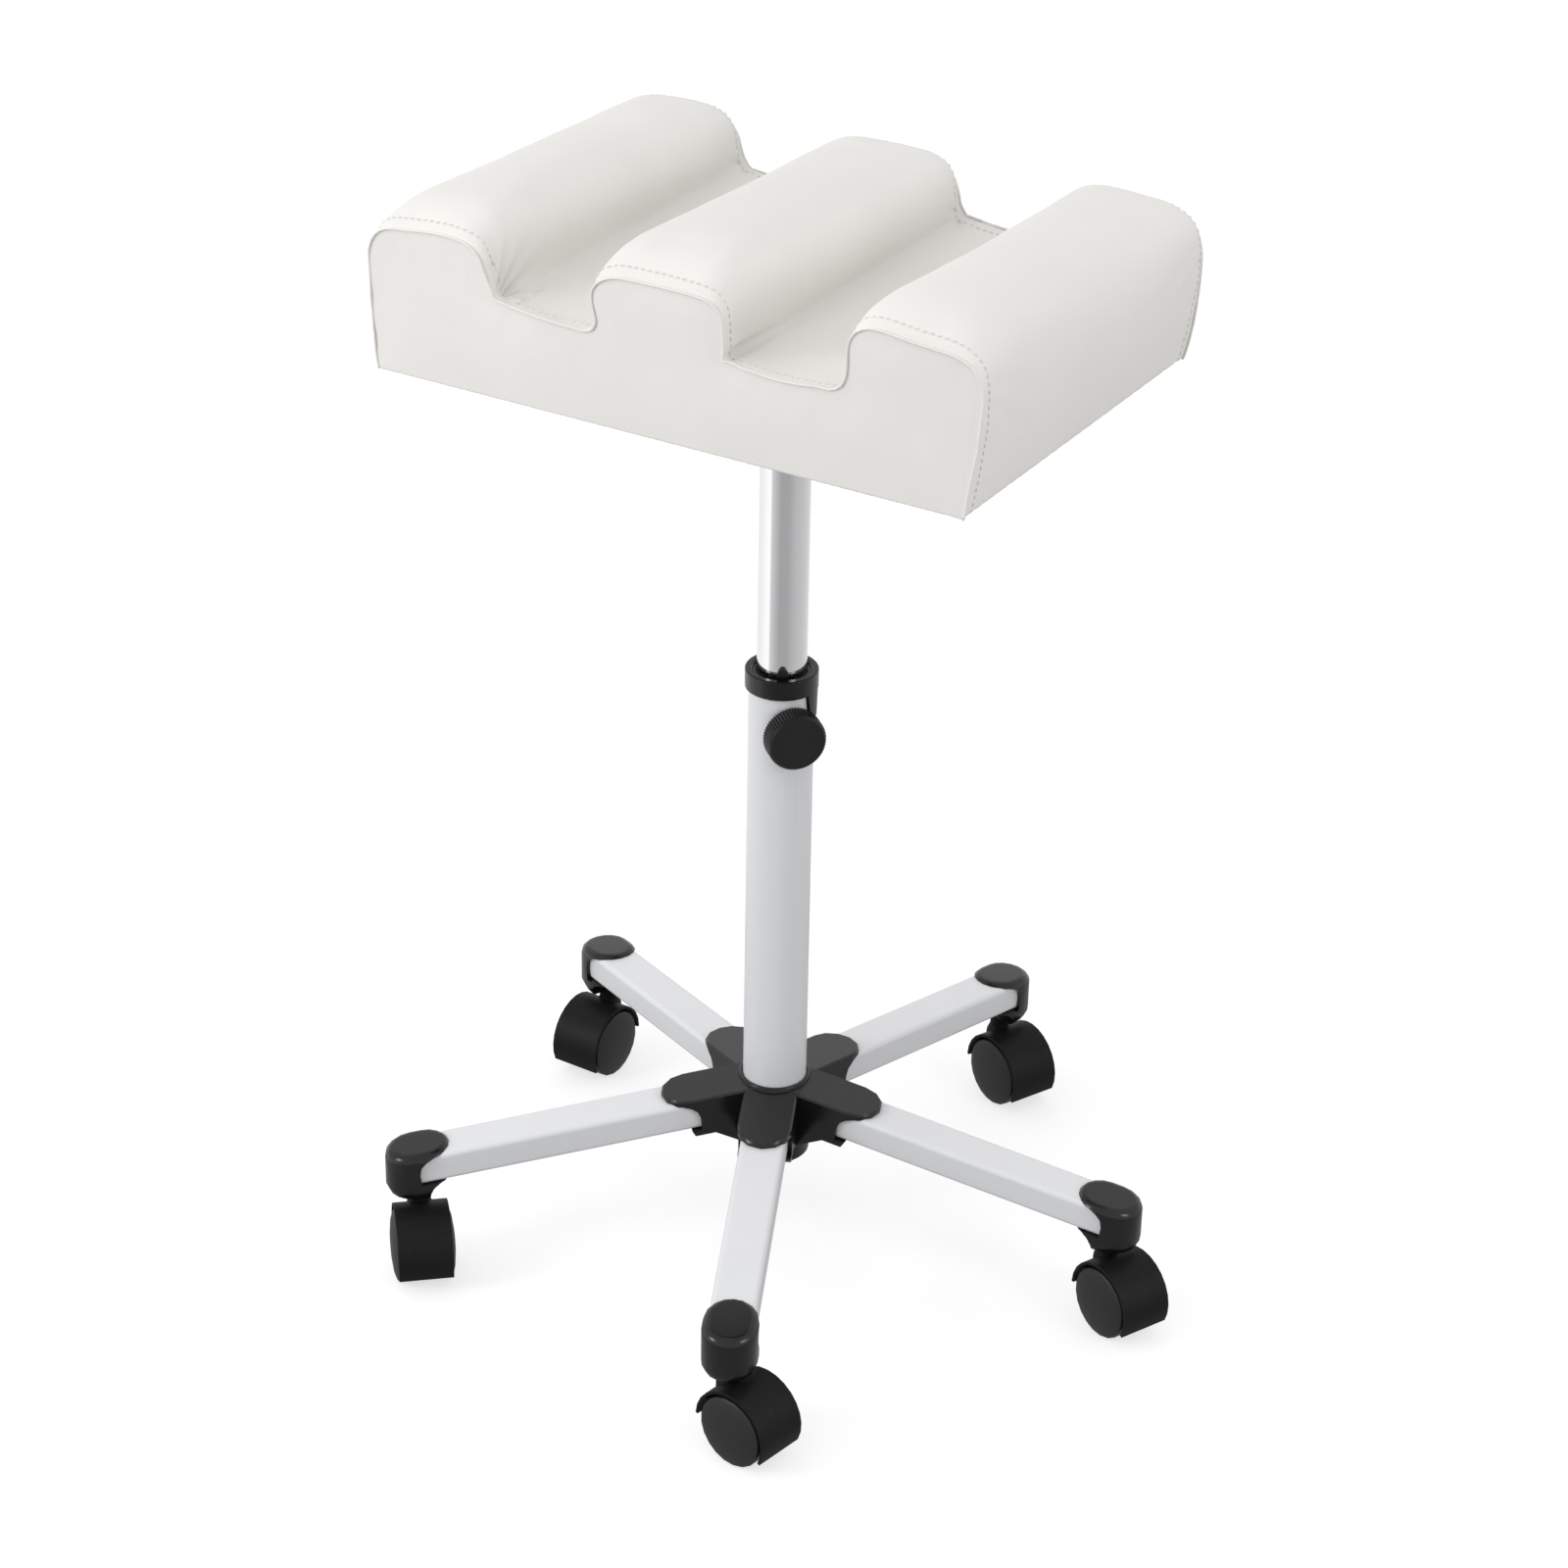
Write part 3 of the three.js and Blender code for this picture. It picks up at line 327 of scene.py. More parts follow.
def drifting_material(name, value, cloud, tones, gloss, bumps, dust=0, **values):
    """A material whose tone and gloss drift with one set of clouds, over small bumps.

    cloud is the clouds' width in millimetres and their detail. bumps is the same for the bumps, and
    then their strength and their depth in millimetres.
    """
    material, tree, place = start_material(name)
    drift = clouds(tree, place, *cloud)
    shade = toned(tree, drift, value, *tones)
    if dust:
        specks = spread(tree, clouds(tree, place, 4, 5), 0, dust, 0.62, 0.85)
        shade = blend_colours(tree, specks, shade, linear("#8C8C8A"))
    width, detail, strength, depth = bumps
    set_shader(tree, Base_Color=shade, Roughness=spread(tree, drift, *gloss),
               Normal=relief(tree, clouds(tree, place, width, detail), strength, depth), **values)
    return material


def leatherette_material(finish):
    """Embossed polyurethane leatherette: satin, with a fine pebble grain and slow changes of tone."""
    material, tree, place = start_material("white_leatherette_embossed")
    drift = clouds(tree, place, 70)
    base = toned(tree, spread(tree, drift, 0, 1, 0.35, 0.65), finish.leatherette, 0.965, 1.01)
    # The grain's pebbles are about 0.7 mm on such covers, and drawn at 1.1 mm so that they show.
    warp = add_node(tree, "TexNoise", {"Vector": place, "Scale": per(3)})
    bent = add_node(tree, "VectorMath",
                    {0: warp.outputs["Color"], "Scale": 0.9 * MM}, operation="SCALE")
    moved = add_node(tree, "VectorMath", {0: place, 1: bent.outputs[0]}, operation="ADD")
    grain = add_node(tree, "TexVoronoi", {"Vector": moved.outputs[0], "Scale": per(1.1)},
                     feature="SMOOTH_F1").outputs["Distance"]
    # The grain's valleys are painted a little darker: painted shade in its hollows.
    valley = spread(tree, grain, 0, 1, 0.25, 0.8)
    pebble = relief(tree, grain, 0.14, 0.1, invert=True)
    ripple = relief(tree, clouds(tree, place, 9, 3), 0.18, 0.25)
    set_input(tree, ripple.node.inputs["Normal"], pebble)
    set_shader(tree, Base_Color=blend_colours(tree, valley, base, tinted(finish.leatherette, 0.985)),
               Roughness=spread(tree, drift, 0.46, 0.56), Normal=ripple,
               IOR=1.48, Sheen_Weight=0.06, Sheen_Roughness=0.5)
    return material


def thread_material(finish):
    """Twisted polyester sewing thread: matt, with a slanting twist."""
    material, tree, place = start_material("white_sewing_thread_twisted")
    # The twist is drawn several times coarser than a real thread's, so that it shows.
    twist = add_node(tree, "TexWave", {"Vector": place, "Scale": per(2.4), "Distortion": 1},
                     bands_direction="DIAGONAL").outputs[1]
    # The twist's grooves are painted darker: painted shade along the twist.
    set_shader(tree, Base_Color=toned(tree, twist, finish.thread, 0.86),
               Normal=relief(tree, twist, 0.4, 0.1), Roughness=0.6, IOR=1.5)
    return material


def powder_material(finish):
    """Powder-coated steel: smooth gloss white with a slight orange peel.

    The peel's waves are about 0.8 mm on a baked coat, and drawn at 1.6 mm.
    """
    return drifting_material("white_powder_coated_steel", finish.powder, (45, 2), (0.98, 1.01),
                             (0.3, 0.38), (1.6, 1, 0.1, 0.05), IOR=1.5)


def chrome_material(finish):
    """Chrome-plated tube, drawn and polished: a mirror with faint polishing lines round the tube."""
    material, tree, place = start_material("chrome_plated_tube_polished")
    lines = clouds(tree, stretched(tree, place, (1, 1, 30)), 12, 4)
    set_shader(tree, Base_Color=toned(tree, clouds(tree, place, 30, 3), finish.chrome, 0.95),
               Roughness=spread(tree, lines, 0.05, 0.13), Normal=relief(tree, lines, 0.04, 0.02), Metallic=1)
    return material


def moulded_material(name, value, roughness, gloss_level, texture_mm, texture_depth):
    """Injection-moulded black plastic: a low sheen, the mould's texture, faint flow marks and dust.

    A real mould's texture is a few tenths of a millimetre, and some are drawn coarser here.
    """
    return drifting_material(name, value, (18, 3), (0.8, 1.25), (roughness - 0.05, roughness + 0.07),
                             (texture_mm, 2, texture_depth, 0.06), dust=0.05,
                             IOR=1.53, Specular_IOR_Level=gloss_level)


def zinc_material(finish):
    """Zinc-plated steel: a bluish metal with a cloudy plating."""
    return drifting_material("zinc_plated_steel", finish.zinc, (5, 4), (0.75, 1), (0.25, 0.45),
                             (5, 4, 0.1, 0.05), Metallic=1)


def nylon_material(finish):
    """Natural moulded nylon: creamy, waxy and slightly translucent at its edges."""
    return drifting_material("natural_nylon_moulded", finish.nylon, (8, 3), (0.92, 1), (0.5, 0.5),
                             (8, 3, 0.15, 0.05), IOR=1.53, Subsurface_Weight=0.1, Subsurface_Scale=MM)


def birch_material(finish):
    """Birch plywood, sanded: long pale grain on its faces and stacked plies along its edges."""
    material, tree, place = start_material("birch_plywood_sanded")
    grain = clouds(tree, stretched(tree, place, (1, 14, 1)), 90, 6, 0.6)
    face = toned(tree, grain, finish.birch, 0.82, 1.1)
    # Plies are about 1.4 mm thick on such board, and drawn at 2.8 mm: every other one is darker.
    height = add_node(tree, "SeparateXYZ", {0: place}).outputs["Z"]
    band = reckoned(tree, "PINGPONG", reckoned(tree, "MULTIPLY", height, per(2.8)), 1)
    dark = reckoned(tree, "GREATER_THAN", band, 0.5)
    layered = blend_colours(tree, dark, face, tinted(finish.birch, 0.6))
    normal = add_node(tree, "TexCoord").outputs["Normal"]
    upright = add_node(tree, "SeparateXYZ", {0: normal}).outputs["Z"]
    shade = blend_colours(tree, reckoned(tree, "ABSOLUTE", upright), layered, face)
    set_shader(tree, Base_Color=shade, Normal=relief(tree, grain, 0.3, 0.1), Roughness=0.62, IOR=1.5)
    return material


def piece_finishes(finish):
    """What each kind of CAD node is made of, and how far its edges are rounded in millimetres, or None."""
    hub_black = moulded_material("black_abs_hub_moulded", finish.hub_black, 0.22, 0.42, 0.9, 0.08)
    collar_black = moulded_material("black_abs_collar_gloss", finish.collar_black, 0.26, 0.3, 2.2, 0.05)
    caster_black = moulded_material("black_nylon_caster_satin", finish.caster_black, 0.48, 0.14, 0.7, 0.3)
    wheel_black = moulded_material("black_nylon_wheel_matt", finish.caster_black, 0.46, 0.5, 0.6, 0.35)
    knob_black = moulded_material("black_abs_knob_textured", finish.knob_black, 0.4, 0.28, 0.8, 0.4)
    powder = powder_material(finish)
    zinc = zinc_material(finish)
    return (
        ("hub_washer", zinc, 0), ("hub_bolt", zinc, 0.3), ("hub", hub_black, 0.8),
        ("tube_foot_plug", zinc, 0.4), ("outer_tube", powder, 0.3),
        ("inner_tube", chrome_material(finish), 0.3), ("inner_guide_bush", caster_black, 0.4),
        ("clamp_nut", zinc, 0.2), ("clamp_pad", nylon_material(finish), 0.2), ("clamp_screw", zinc, 0.2),
        ("collar", collar_black, 0.2), ("knob", knob_black, None),
        ("leg_cap", hub_black, 0.7), ("leg_screw", zinc, 0.2), ("leg", powder, 0.2),
        ("caster_stem", zinc, 0.3), ("caster_hood", caster_black, 0.4), ("caster_axle", zinc, 0.2),
        ("caster_wheel", wheel_black, 0.4), ("mounting_plate", zinc, 0.5), ("plate_screw", zinc, 0.2),
        ("cushion_board", birch_material(finish), 0.5),
    )


def add_modifier(piece, name, kind, **settings):
    """Adds a modifier with its settings."""
    made = piece.modifiers.new(name, kind)
    for key, value in settings.items():
        setattr(made, key, value)
    return made


def shade_smooth(mesh):
    """Shades every face smoothly."""
    for polygon in mesh.polygons:
        polygon.use_smooth = True


def dress(piece, material, rounding_mm):
    """Gives a CAD node its finish, smooth shading and slightly rounded edges, or crisp ones for None."""
    piece.data.materials.clear()
    piece.data.materials.append(material)
    shade_smooth(piece.data)
    add_modifier(piece, "weld", "WELD", merge_threshold=WELD_GAP)
    add_modifier(piece, "flatten", "DECIMATE", decimate_type="DISSOLVE", angle_limit=math.radians(1.5))
    if rounding_mm is None:
        add_modifier(piece, "crisp_edges", "EDGE_SPLIT", split_angle=math.radians(16))
    elif rounding_mm:
        add_modifier(piece, "edges", "BEVEL", width=rounding_mm * MM, segments=2, limit_method="ANGLE",
                     angle_limit=math.radians(34))
    add_modifier(piece, "shading", "WEIGHTED_NORMAL", keep_sharp=True)


# Padded top

def between(t, start, end, first, second):
    """The value at t on a straight line that is first at start and second at end."""
    return (end - t) / (end - start) * first + (t - start) / (end - start) * second


def smooth_run(points, steps):
    """Evenly spaced points on a smooth line through the given points."""
    given = np.array(points, float)
    ends = np.vstack([2 * given[0] - given[1], given, 2 * given[-1] - given[-2]])
    knots = np.concatenate([[0], np.cumsum(np.sqrt(np.linalg.norm(np.diff(ends, axis=0), axis=1)))])
    fine = []
    for i in range(1, len(ends) - 2):
        t0, t1, t2, t3 = knots[i - 1:i + 3]
        p0, p1, p2, p3 = ends[i - 1:i + 3]
        for t in np.linspace(t1, t2, SPAN_STEPS, endpoint=False):
            middle = between(t, t1, t2, p1, p2)
            before = between(t, t0, t2, between(t, t0, t1, p0, p1), middle)
            after = between(t, t1, t3, middle, between(t, t2, t3, p2, p3))
            fine.append(between(t, t1, t2, before, after))
    fine.append(ends[-2])
    return resample(np.array(fine), np.linspace(0, 1, steps + 1))


def resample(points, shares):
    """Points at the given shares of a line's length."""
    walked = np.concatenate([[0], np.cumsum(np.linalg.norm(np.diff(points, axis=0), axis=1))])
    return np.stack([np.interp(shares * walked[-1], walked, axis) for axis in points.T], axis=1)


def section_points(section):
    """One section of the padded top, in metres, from its lower left corner over to its lower right one."""
    line, start = [], ()
    for points, steps in zip(section, RUN_STEPS):
        line += list(smooth_run((*start, *points), steps))[len(start):]
        start = points[-1:]
    return np.array(line) * MM


def column_distances(settings, reach):
    """Distances along the cover from the front seam, close together near both seams."""
    near = np.array(SEAM_SPACING) * settings.seam_inset
    inner = int(round((reach - 2 * near[-1]) / settings.net))
    middle = np.linspace(near[-1], reach - near[-1], inner + 1)
    return np.concatenate([near[:-1], middle, (reach - near[:-1])[::-1]])


def line_lengths(lines):
    """The length of each line of points; the points follow each other along the first axis."""
    return np.linalg.norm(np.diff(lines, axis=0), axis=-1).sum(axis=0)


def cover_grid(settings, depth):
    """The top panel's points: a column for each point of the section, a row for each step to the back."""
    front, middle, back = (section_points(s) for s in (FRONT_SECTION, MIDDLE_SECTION, BACK_SECTION))
    half = depth / 2
    ease = 1 - np.cos(np.linspace(0, math.pi / 2, ARC_STEPS))
    places = np.concatenate([settings.front_run * ease - half, np.linspace(-half, half, 20)[4:-4],
                             half - settings.back_run * ease])
    sampled = []
    for y in np.unique(np.round(places, 7)):
        run = min(1, (half - abs(y)) / (settings.front_run if y < 0 else settings.back_run))
        rise = math.sqrt(max(0, 1 - (1 - run) ** 2))
        ends = front if y < 0 else back
        row = ends + (middle - ends) * rise
        height_share = np.clip((row[:, 1] - CHANNEL_HEIGHT) / RIDGE_RISE, 0, 1)
        fall = height_share * rise * settings.crest_fall * y / depth
        sampled.append(np.column_stack([row[:, 0], np.full(len(row), y), row[:, 1] - fall]))
    sampled = np.array(sampled)
    reaches = line_lengths(sampled)
    shortest = min(reaches)
    rows = column_distances(settings, shortest)
    edge = rows[len(SEAM_SPACING) - 1]
    growth = np.clip((rows - edge) / (shortest - 2 * edge), 0, 1)
    return np.array([resample(sampled[:, i], (rows + (reach - shortest) * growth) / reach)
                     for i, reach in enumerate(reaches)])


def inside(points, loop):
    """Which points lie inside a closed loop, in two dimensions."""
    held = np.zeros(len(points), bool)
    for (x0, y0), (x1, y1) in zip(loop, np.roll(loop, -1, axis=0)):
        crosses = (y0 > points[:, 1]) != (y1 > points[:, 1])
        at = x0 + (points[:, 1] - y0) * (x1 - x0) / (y1 - y0 if y1 != y0 else 1)
        held ^= crosses & (points[:, 0] < at)
    return held


def point_tree(points):
    """A search tree over points."""
    tree = KDTree(len(points))
    for index, place in enumerate(points):
        tree.insert(place, index)
    tree.balance()
    return tree


def net_points(loop, spacing, hole):
    """Evenly spread points inside a loop and clear of its edge and of any hole."""
    low, high = loop.min(axis=0), loop.max(axis=0)
    found = np.array([(u, v) for j, v in enumerate(np.arange(low[1], high[1], spacing * math.sqrt(3) / 2))
                      for u in np.arange(low[0] + spacing / 2 * (j % 2), high[0], spacing)])
    tree = point_tree([(u, v, 0) for u, v in (*loop, *hole)])
    far = [tree.find((u, v, 0))[2] > spacing * 0.6 for u, v in found]
    return found[inside(found, loop) & ~inside(found, hole) & np.array(far)]


def inset_loop(loop, distance):
    """The loop moved inwards by a distance."""
    before, after = np.roll(loop, 1, axis=0), np.roll(loop, -1, axis=0)
    along = (after - before) / np.linalg.norm(after - before, axis=1)[:, None]
    turned = np.column_stack([-along[:, 1], along[:, 0]])
    area = np.sum(loop[:, 0] * after[:, 1] - after[:, 0] * loop[:, 1])
    return loop + turned * distance * (1 if area > 0 else -1)


def fill_net(mesh, rim, flat_rim, lift, spacing, hole=(), flat_hole=()):
    """Fills a closed rim of vertices with a net of small faces; lift turns flat points into places."""
    inner = net_points(flat_rim, spacing, flat_hole)
    verts = [*rim, *hole, *(mesh.verts.new(lift(u, v)) for u, v in inner)]
    edges = [(i, (i + 1) % len(rim)) for i in range(len(rim))]
    edges += [(len(rim) + i, len(rim) + (i + 1) % len(hole)) for i in range(len(hole))]
    flats = [Vector(p) for p in (*flat_rim, *flat_hole, *inner)]
    places, _edges, faces, origins = delaunay_2d_cdt(flats, edges, [], 1, 1e-7)[:4]
    centres = np.array([np.mean([places[i] for i in face], axis=0) for face in faces])
    for face, dropped in zip(faces, inside(centres, flat_hole)):
        if not dropped:
            mesh.faces.new([verts[origins[i][0]] for i in face])
    return verts


def ring_faces(mesh, outer, inner):
    """Joins two closed rings of as many vertices with faces."""
    for i in range(len(outer)):
        j = (i + 1) % len(outer)
        mesh.faces.new((outer[i], outer[j], inner[j], inner[i]))


def end_panel(mesh, settings, rim, y, outward):
    """The front or back panel: a groove beside the seam, then a net of faces."""
    flat = np.array([(vert.co.x, vert.co.z) for vert in rim])
    loops = []
    for distance, depth in ((settings.welt, LAP_DEPTH * settings.welt), (settings.seam_inset / 2, 0)):
        loop = inset_loop(flat, distance)
        loops.append((loop, [mesh.verts.new((u, y - outward * depth, v)) for u, v in loop]))
    ring_faces(mesh, rim, loops[0][1])
    ring_faces(mesh, loops[0][1], loops[1][1])
    fill_net(mesh, loops[1][1], loops[1][0], lambda u, v: (u, y, v), settings.net)
    return loops[0][1] + loops[1][1]


def rounded_loop(width, depth, radius, steps=5):
    """A closed rounded rectangle about the origin, with points along its sides."""
    corners = []
    for sx, sy, start in ((1, -1, -90), (1, 1, 0), (-1, 1, 90), (-1, -1, 180)):
        centre = np.array([sx * (width / 2 - radius), sy * (depth / 2 - radius)])
        for i in range(steps + 1):
            turn = math.radians(start + 90 * i / steps)
            corners.append(centre + radius * np.array([math.cos(turn), math.sin(turn)]))
    corners.append(corners[0])
    count = int(2 * (width + depth) / UNDERSIDE_NET)
    return resample(np.array(corners), np.linspace(0, 1, count, endpoint=False))


def cover_mesh(settings, place, depth, board):
    """The whole cover as one closed mesh, and how firmly each of its held vertices is held."""
    mesh = bmesh.new()
    grid = cover_grid(settings, depth)
    columns, rows = grid.shape[:2]
    top = [[mesh.verts.new(grid[i, j]) for j in range(rows)] for i in range(columns)]
    for i in range(columns - 1):
        for j in range(rows - 1):
            mesh.faces.new((top[i][j], top[i + 1][j], top[i + 1][j + 1], top[i][j + 1]))
    pinned = {vert: 1.0 for column in top for vert in column[:STITCH_ROW + 1] + column[-STITCH_ROW - 1:]}
    count = int(round((grid[-1, 0, 0] - grid[0, 0, 0]) / settings.net))
    hems = []
    for j, outward in ((0, -1), (rows - 1, 1)):
        y = grid[0, j, 1]
        across = np.linspace(grid[-1, j, 0], grid[0, j, 0], count + 1)[1:-1]
        hem = [mesh.verts.new((x, y, 0)) for x in across]
        hems.append(hem)
        rim = [column[j] for column in top] + hem
        for vert in end_panel(mesh, settings, rim, y, outward):
            pinned[vert] = 1.0
    under = top[0] + hems[1][::-1] + top[-1][::-1] + hems[0]
    flat_under = np.array([(vert.co.x, vert.co.y) for vert in under])
    middle = ((board[0] + board[1]) / 2 - place).to_2d()
    size = board[1] - board[0]
    hole = rounded_loop(size.x + 2 * BOARD_GAP, size.y + 2 * BOARD_GAP, BOARD_CORNER) + np.array(middle)
    brim = [mesh.verts.new((u, v, 0)) for u, v in hole]
    filled = fill_net(mesh, under, flat_under, lambda u, v: (u, v, 0), UNDERSIDE_NET, brim, hole)
    roof = [mesh.verts.new((u, v, size.z + BOARD_GAP)) for u, v in hole]
    ring_faces(mesh, brim, roof)
    mesh.faces.new(roof)
    for vert in (*filled, *roof):
        pinned[vert] = 1.0
    pin_channels(top, pinned)
    return mesh, pinned


def pin_channels(top, pinned):
    """Holds the channels' floors down, and the foot of each ridge hard near the front and back."""
    edges = np.cumsum((0,) + RUN_STEPS)
    for run in CHANNEL_RUNS:
        for i in range(edges[run], edges[run + 1] + 1):
            is_foot = i in (edges[run], edges[run + 1])
            for vert in top[i]:
                nearness = min(1, abs(vert.co.y) / FULL_HOLD_AT)
                held = FOOT_HOLD + (1 - FOOT_HOLD) * nearness ** 3 if is_foot else FLOOR_HOLD
                pinned[vert] = max(pinned.get(vert, 0), held)


def puff_up(piece, pinned_weights, settings):
    """Lets the foam press the cover out between its seams, by a cloth simulation with air pressure."""
    group = piece.vertex_groups.new(name="held")
    for index, weight in pinned_weights.items():
        group.add([index], weight, "REPLACE")
    cloth = piece.modifiers.new("cloth", "CLOTH")
    fabric = cloth.settings
    fabric.quality = 5
    fabric.use_pressure = True
    fabric.uniform_pressure_force = 4
    fabric.effector_weights.gravity = 0
    fabric.vertex_group_mass = group.name
    fabric.bending_stiffness = 0.6
    scene = bpy.context.scene
    for step in range(1, CLOTH_FRAMES + 1):
        scene.frame_set(step)
    seen = piece.evaluated_get(bpy.context.evaluated_depsgraph_get())
    after = np.zeros(len(piece.data.vertices) * 3)
    seen.data.vertices.foreach_get("co", after)
    piece.modifiers.remove(cloth)
    scene.frame_set(1)
    before = np.zeros(len(after))
    piece.data.vertices.foreach_get("co", before)
    shift = (after - before).reshape(-1, 3)
    size = np.linalg.norm(shift, axis=1)
    capped = settings.puff * np.tanh(size / settings.puff)
    shift *= (capped / np.maximum(size, 1e-9))[:, None]
    piece.data.vertices.foreach_set("co", before + shift.ravel())
    piece.data.update()


def subdivide(piece):
    """Rounds the mesh once, keeping its creased seams crisp, and applies the result."""
    smooth = add_modifier(piece, "subdivision", "SUBSURF", levels=1, render_levels=1)
    seen = piece.evaluated_get(bpy.context.evaluated_depsgraph_get())
    made = bpy.data.meshes.new_from_object(seen)
    piece.modifiers.remove(smooth)
    old = piece.data
    piece.data = made
    bpy.data.meshes.remove(old)


def refine(piece, low, high):
    """Gives the cover a finer net between two corners, where it lies in tight folds."""
    mesh = bmesh.new()
    mesh.from_mesh(piece.data)
    edges = [edge for edge in mesh.edges
             if all(low[i] < vert.co[i] < high[i] for vert in edge.verts for i in range(3))]
    bmesh.ops.subdivide_edges(mesh, edges=edges, cuts=1, smooth=0, use_grid_fill=True)
    mesh.to_mesh(piece.data)
    mesh.free()


def fan_folds(along, across, rise, reach, count, lean):
    """Folds that fan out from a corner: 1 on a crest, -1 in a valley, strongest at a fifth of the reach."""
    up = math.hypot(across, rise)
    distance = math.hypot(along, up)
    fade = min(1, distance / (0.2 * reach)) * bell(distance, 0.55 * reach)
    return fade * math.sin(count * math.atan2(up, along) + lean)


def pucker(x, z, width):
    """Short irregular gathers along a seam, from about -1 to 1."""
    coarse = noise.noise(Vector((x / width, z / width, 7.3)))
    return coarse + 0.5 * noise.noise(Vector((2.3 * x / width, 0, z / width)))


def bell(distance, reach):
    """A smooth hump: 1 at no distance, about a third at the reach, and nothing far beyond it."""
    return math.exp(-(distance / reach) ** 2)


def seam_tree(depth):
    """A search tree over the points of both seams."""
    return point_tree([(x, y, z) for section, y in ((FRONT_SECTION, -depth / 2), (BACK_SECTION, depth / 2))
                       for x, z in section_points(section)])


def crease_cover(piece, depth):
    """Adds the folds, gathers and slow waves that a sewn cover has, and none on the seams themselves."""
    seams = seam_tree(depth)
    normals = [vert.normal.copy() for vert in piece.data.vertices]
    for vert, normal in zip(piece.data.vertices, normals):
        x, y, z = vert.co
        if z < HEM_HEIGHT:
            continue
        from_seam = seams.find(vert.co)[2]
        push = slow_wave(vert.co) * min(1, z / CALM_HEIGHT)
        if depth / 2 - abs(y) > 1 * MM:
            push += TOP_GATHERS * bell(from_seam, 14 * MM) * pucker(x, z, 7 * MM)
            push += top_folds(x, z, y + depth / 2, depth / 2 - y)
        elif normal.y < -0.8:
            push += PANEL_GATHERS * bell(from_seam - 8 * MM, 8 * MM) * pucker(x, 0.25 * z, 9 * MM)
        vert.co += normal * push * min(1, from_seam / CALM_REACH)


def slow_wave(place):
    """How far the foam's unevenness moves the cover, in metres: waves of 46 mm and, fainter, of 19 mm."""
    return (0.6 * noise.noise(place / (46 * MM)) + 0.2 * noise.noise(place / (19 * MM))) * MM


def top_folds(x, z, from_front, from_back):
    """Folds at the ridges' feet, in metres: a fan, a pinched crease and small fans at the back."""
    push = 0
    if FAN_SIDES[0] < x < FAN_SIDES[1]:
        push += FAN_DEPTH * fan_folds(from_front, x - LEFT_FOOT[0], z - LEFT_FOOT[1],
                                      reach=50 * MM, count=17, lean=0.9)
    if PINCH_SIDES[0] < x < PINCH_SIDES[1] and z < PINCH_TOP:
        pinch = bell(z - MIDDLE_FOOT[1], PINCH_WIDTH) * bell(x - MIDDLE_FOOT[0], PINCH_WIDTH)
        push -= PINCH_DEPTH * pinch * bell(from_front - PINCH_MIDDLE, PINCH_LENGTH)
    for foot in BACK_FEET:
        if abs(x - foot) < BACK_FAN_REACH:
            push += BACK_FAN_DEPTH * fan_folds(from_back, x - foot, z - CHANNEL_HEIGHT,
                                               reach=30 * MM, count=8, lean=1.1)
    return push


def surface_tree(piece):
    """A search tree over the piece's final surface."""
    points = [vert.co.copy() for vert in piece.data.vertices]
    return BVHTree.FromPolygons(points, [tuple(p.vertices) for p in piece.data.polygons])


def laid_path(tree, points, spacing):
    """Evenly spaced places along a line, each with the nearby surface's normal, evened out."""
    spots = resample(points, np.linspace(0, 1, int(line_lengths(points) / spacing) + 1))
    found = [tree.find_nearest(Vector(spot)) for spot in spots]
    return [(spot, sum((near[1] for near in found[max(0, i - 2):i + 3]), Vector()).normalized())
            for i, (spot, *_rest) in enumerate(found)]


def add_ring(mesh, centre, radius, across, up, sides):
    """A ring of vertices about a centre."""
    turns = (2 * math.pi * k / sides for k in range(sides))
    return [mesh.verts.new(centre + radius * (math.cos(t) * across + math.sin(t) * up)) for t in turns]


def skin(mesh, rings):
    """Faces from ring to ring, closed at both ends."""
    for first, second in zip(rings, rings[1:]):
        ring_faces(mesh, first, second)
    mesh.faces.new(rings[0][::-1])
    mesh.faces.new(rings[-1])


def sweep_round(mesh, path, radius, rise):
    """A round bead laid along a path of places and normals."""
    rings = []
    for i, (spot, normal) in enumerate(path):
        ahead = path[min(i + 1, len(path) - 1)][0] - path[max(i - 1, 0)][0]
        across = ahead.cross(normal).normalized()
        up = across.cross(ahead).normalized()
        rings.append(add_ring(mesh, spot + up * rise, radius, across, up, 8))
    skin(mesh, rings)


def stitch_mesh(mesh, path, length_share, radius):
    """Short rounded stitches along a path, each bowed down into the cover at its ends."""
    for (start, normal), (end, _next) in zip(path, path[1:]):
        along = end - start
        side = along.cross(normal).normalized()
        up = side.cross(along).normalized()
        rings = []
        for share, size in STITCH_SHAPE:
            lift = radius * (STITCH_BOW * math.sin(math.pi * share) - STITCH_SINK)
            centre = start + along * (share * length_share) + up * lift
            rings.append(add_ring(mesh, centre, size * radius, side, up, 6))
        skin(mesh, rings)


def add_object(name, data):
    """A new object in the scene."""
    made = bpy.data.objects.new(name, data)
    bpy.context.scene.collection.objects.link(made)
    return made


def middle_of(low, high, height):
    """The middle of a box seen from above, at a height."""
    return Vector(((low.x + high.x) / 2, (low.y + high.y) / 2, height))


def new_piece(name, mesh, material, place, body):
    """A new smooth-shaded piece that rides on a body."""
    bmesh.ops.recalc_face_normals(mesh, faces=mesh.faces)
    data = bpy.data.meshes.new(name)
    mesh.to_mesh(data)
    mesh.free()
    piece = add_object(name, data)
    piece.location = place
    data.materials.append(material)
    shade_smooth(data)
    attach(piece, body)
    return piece


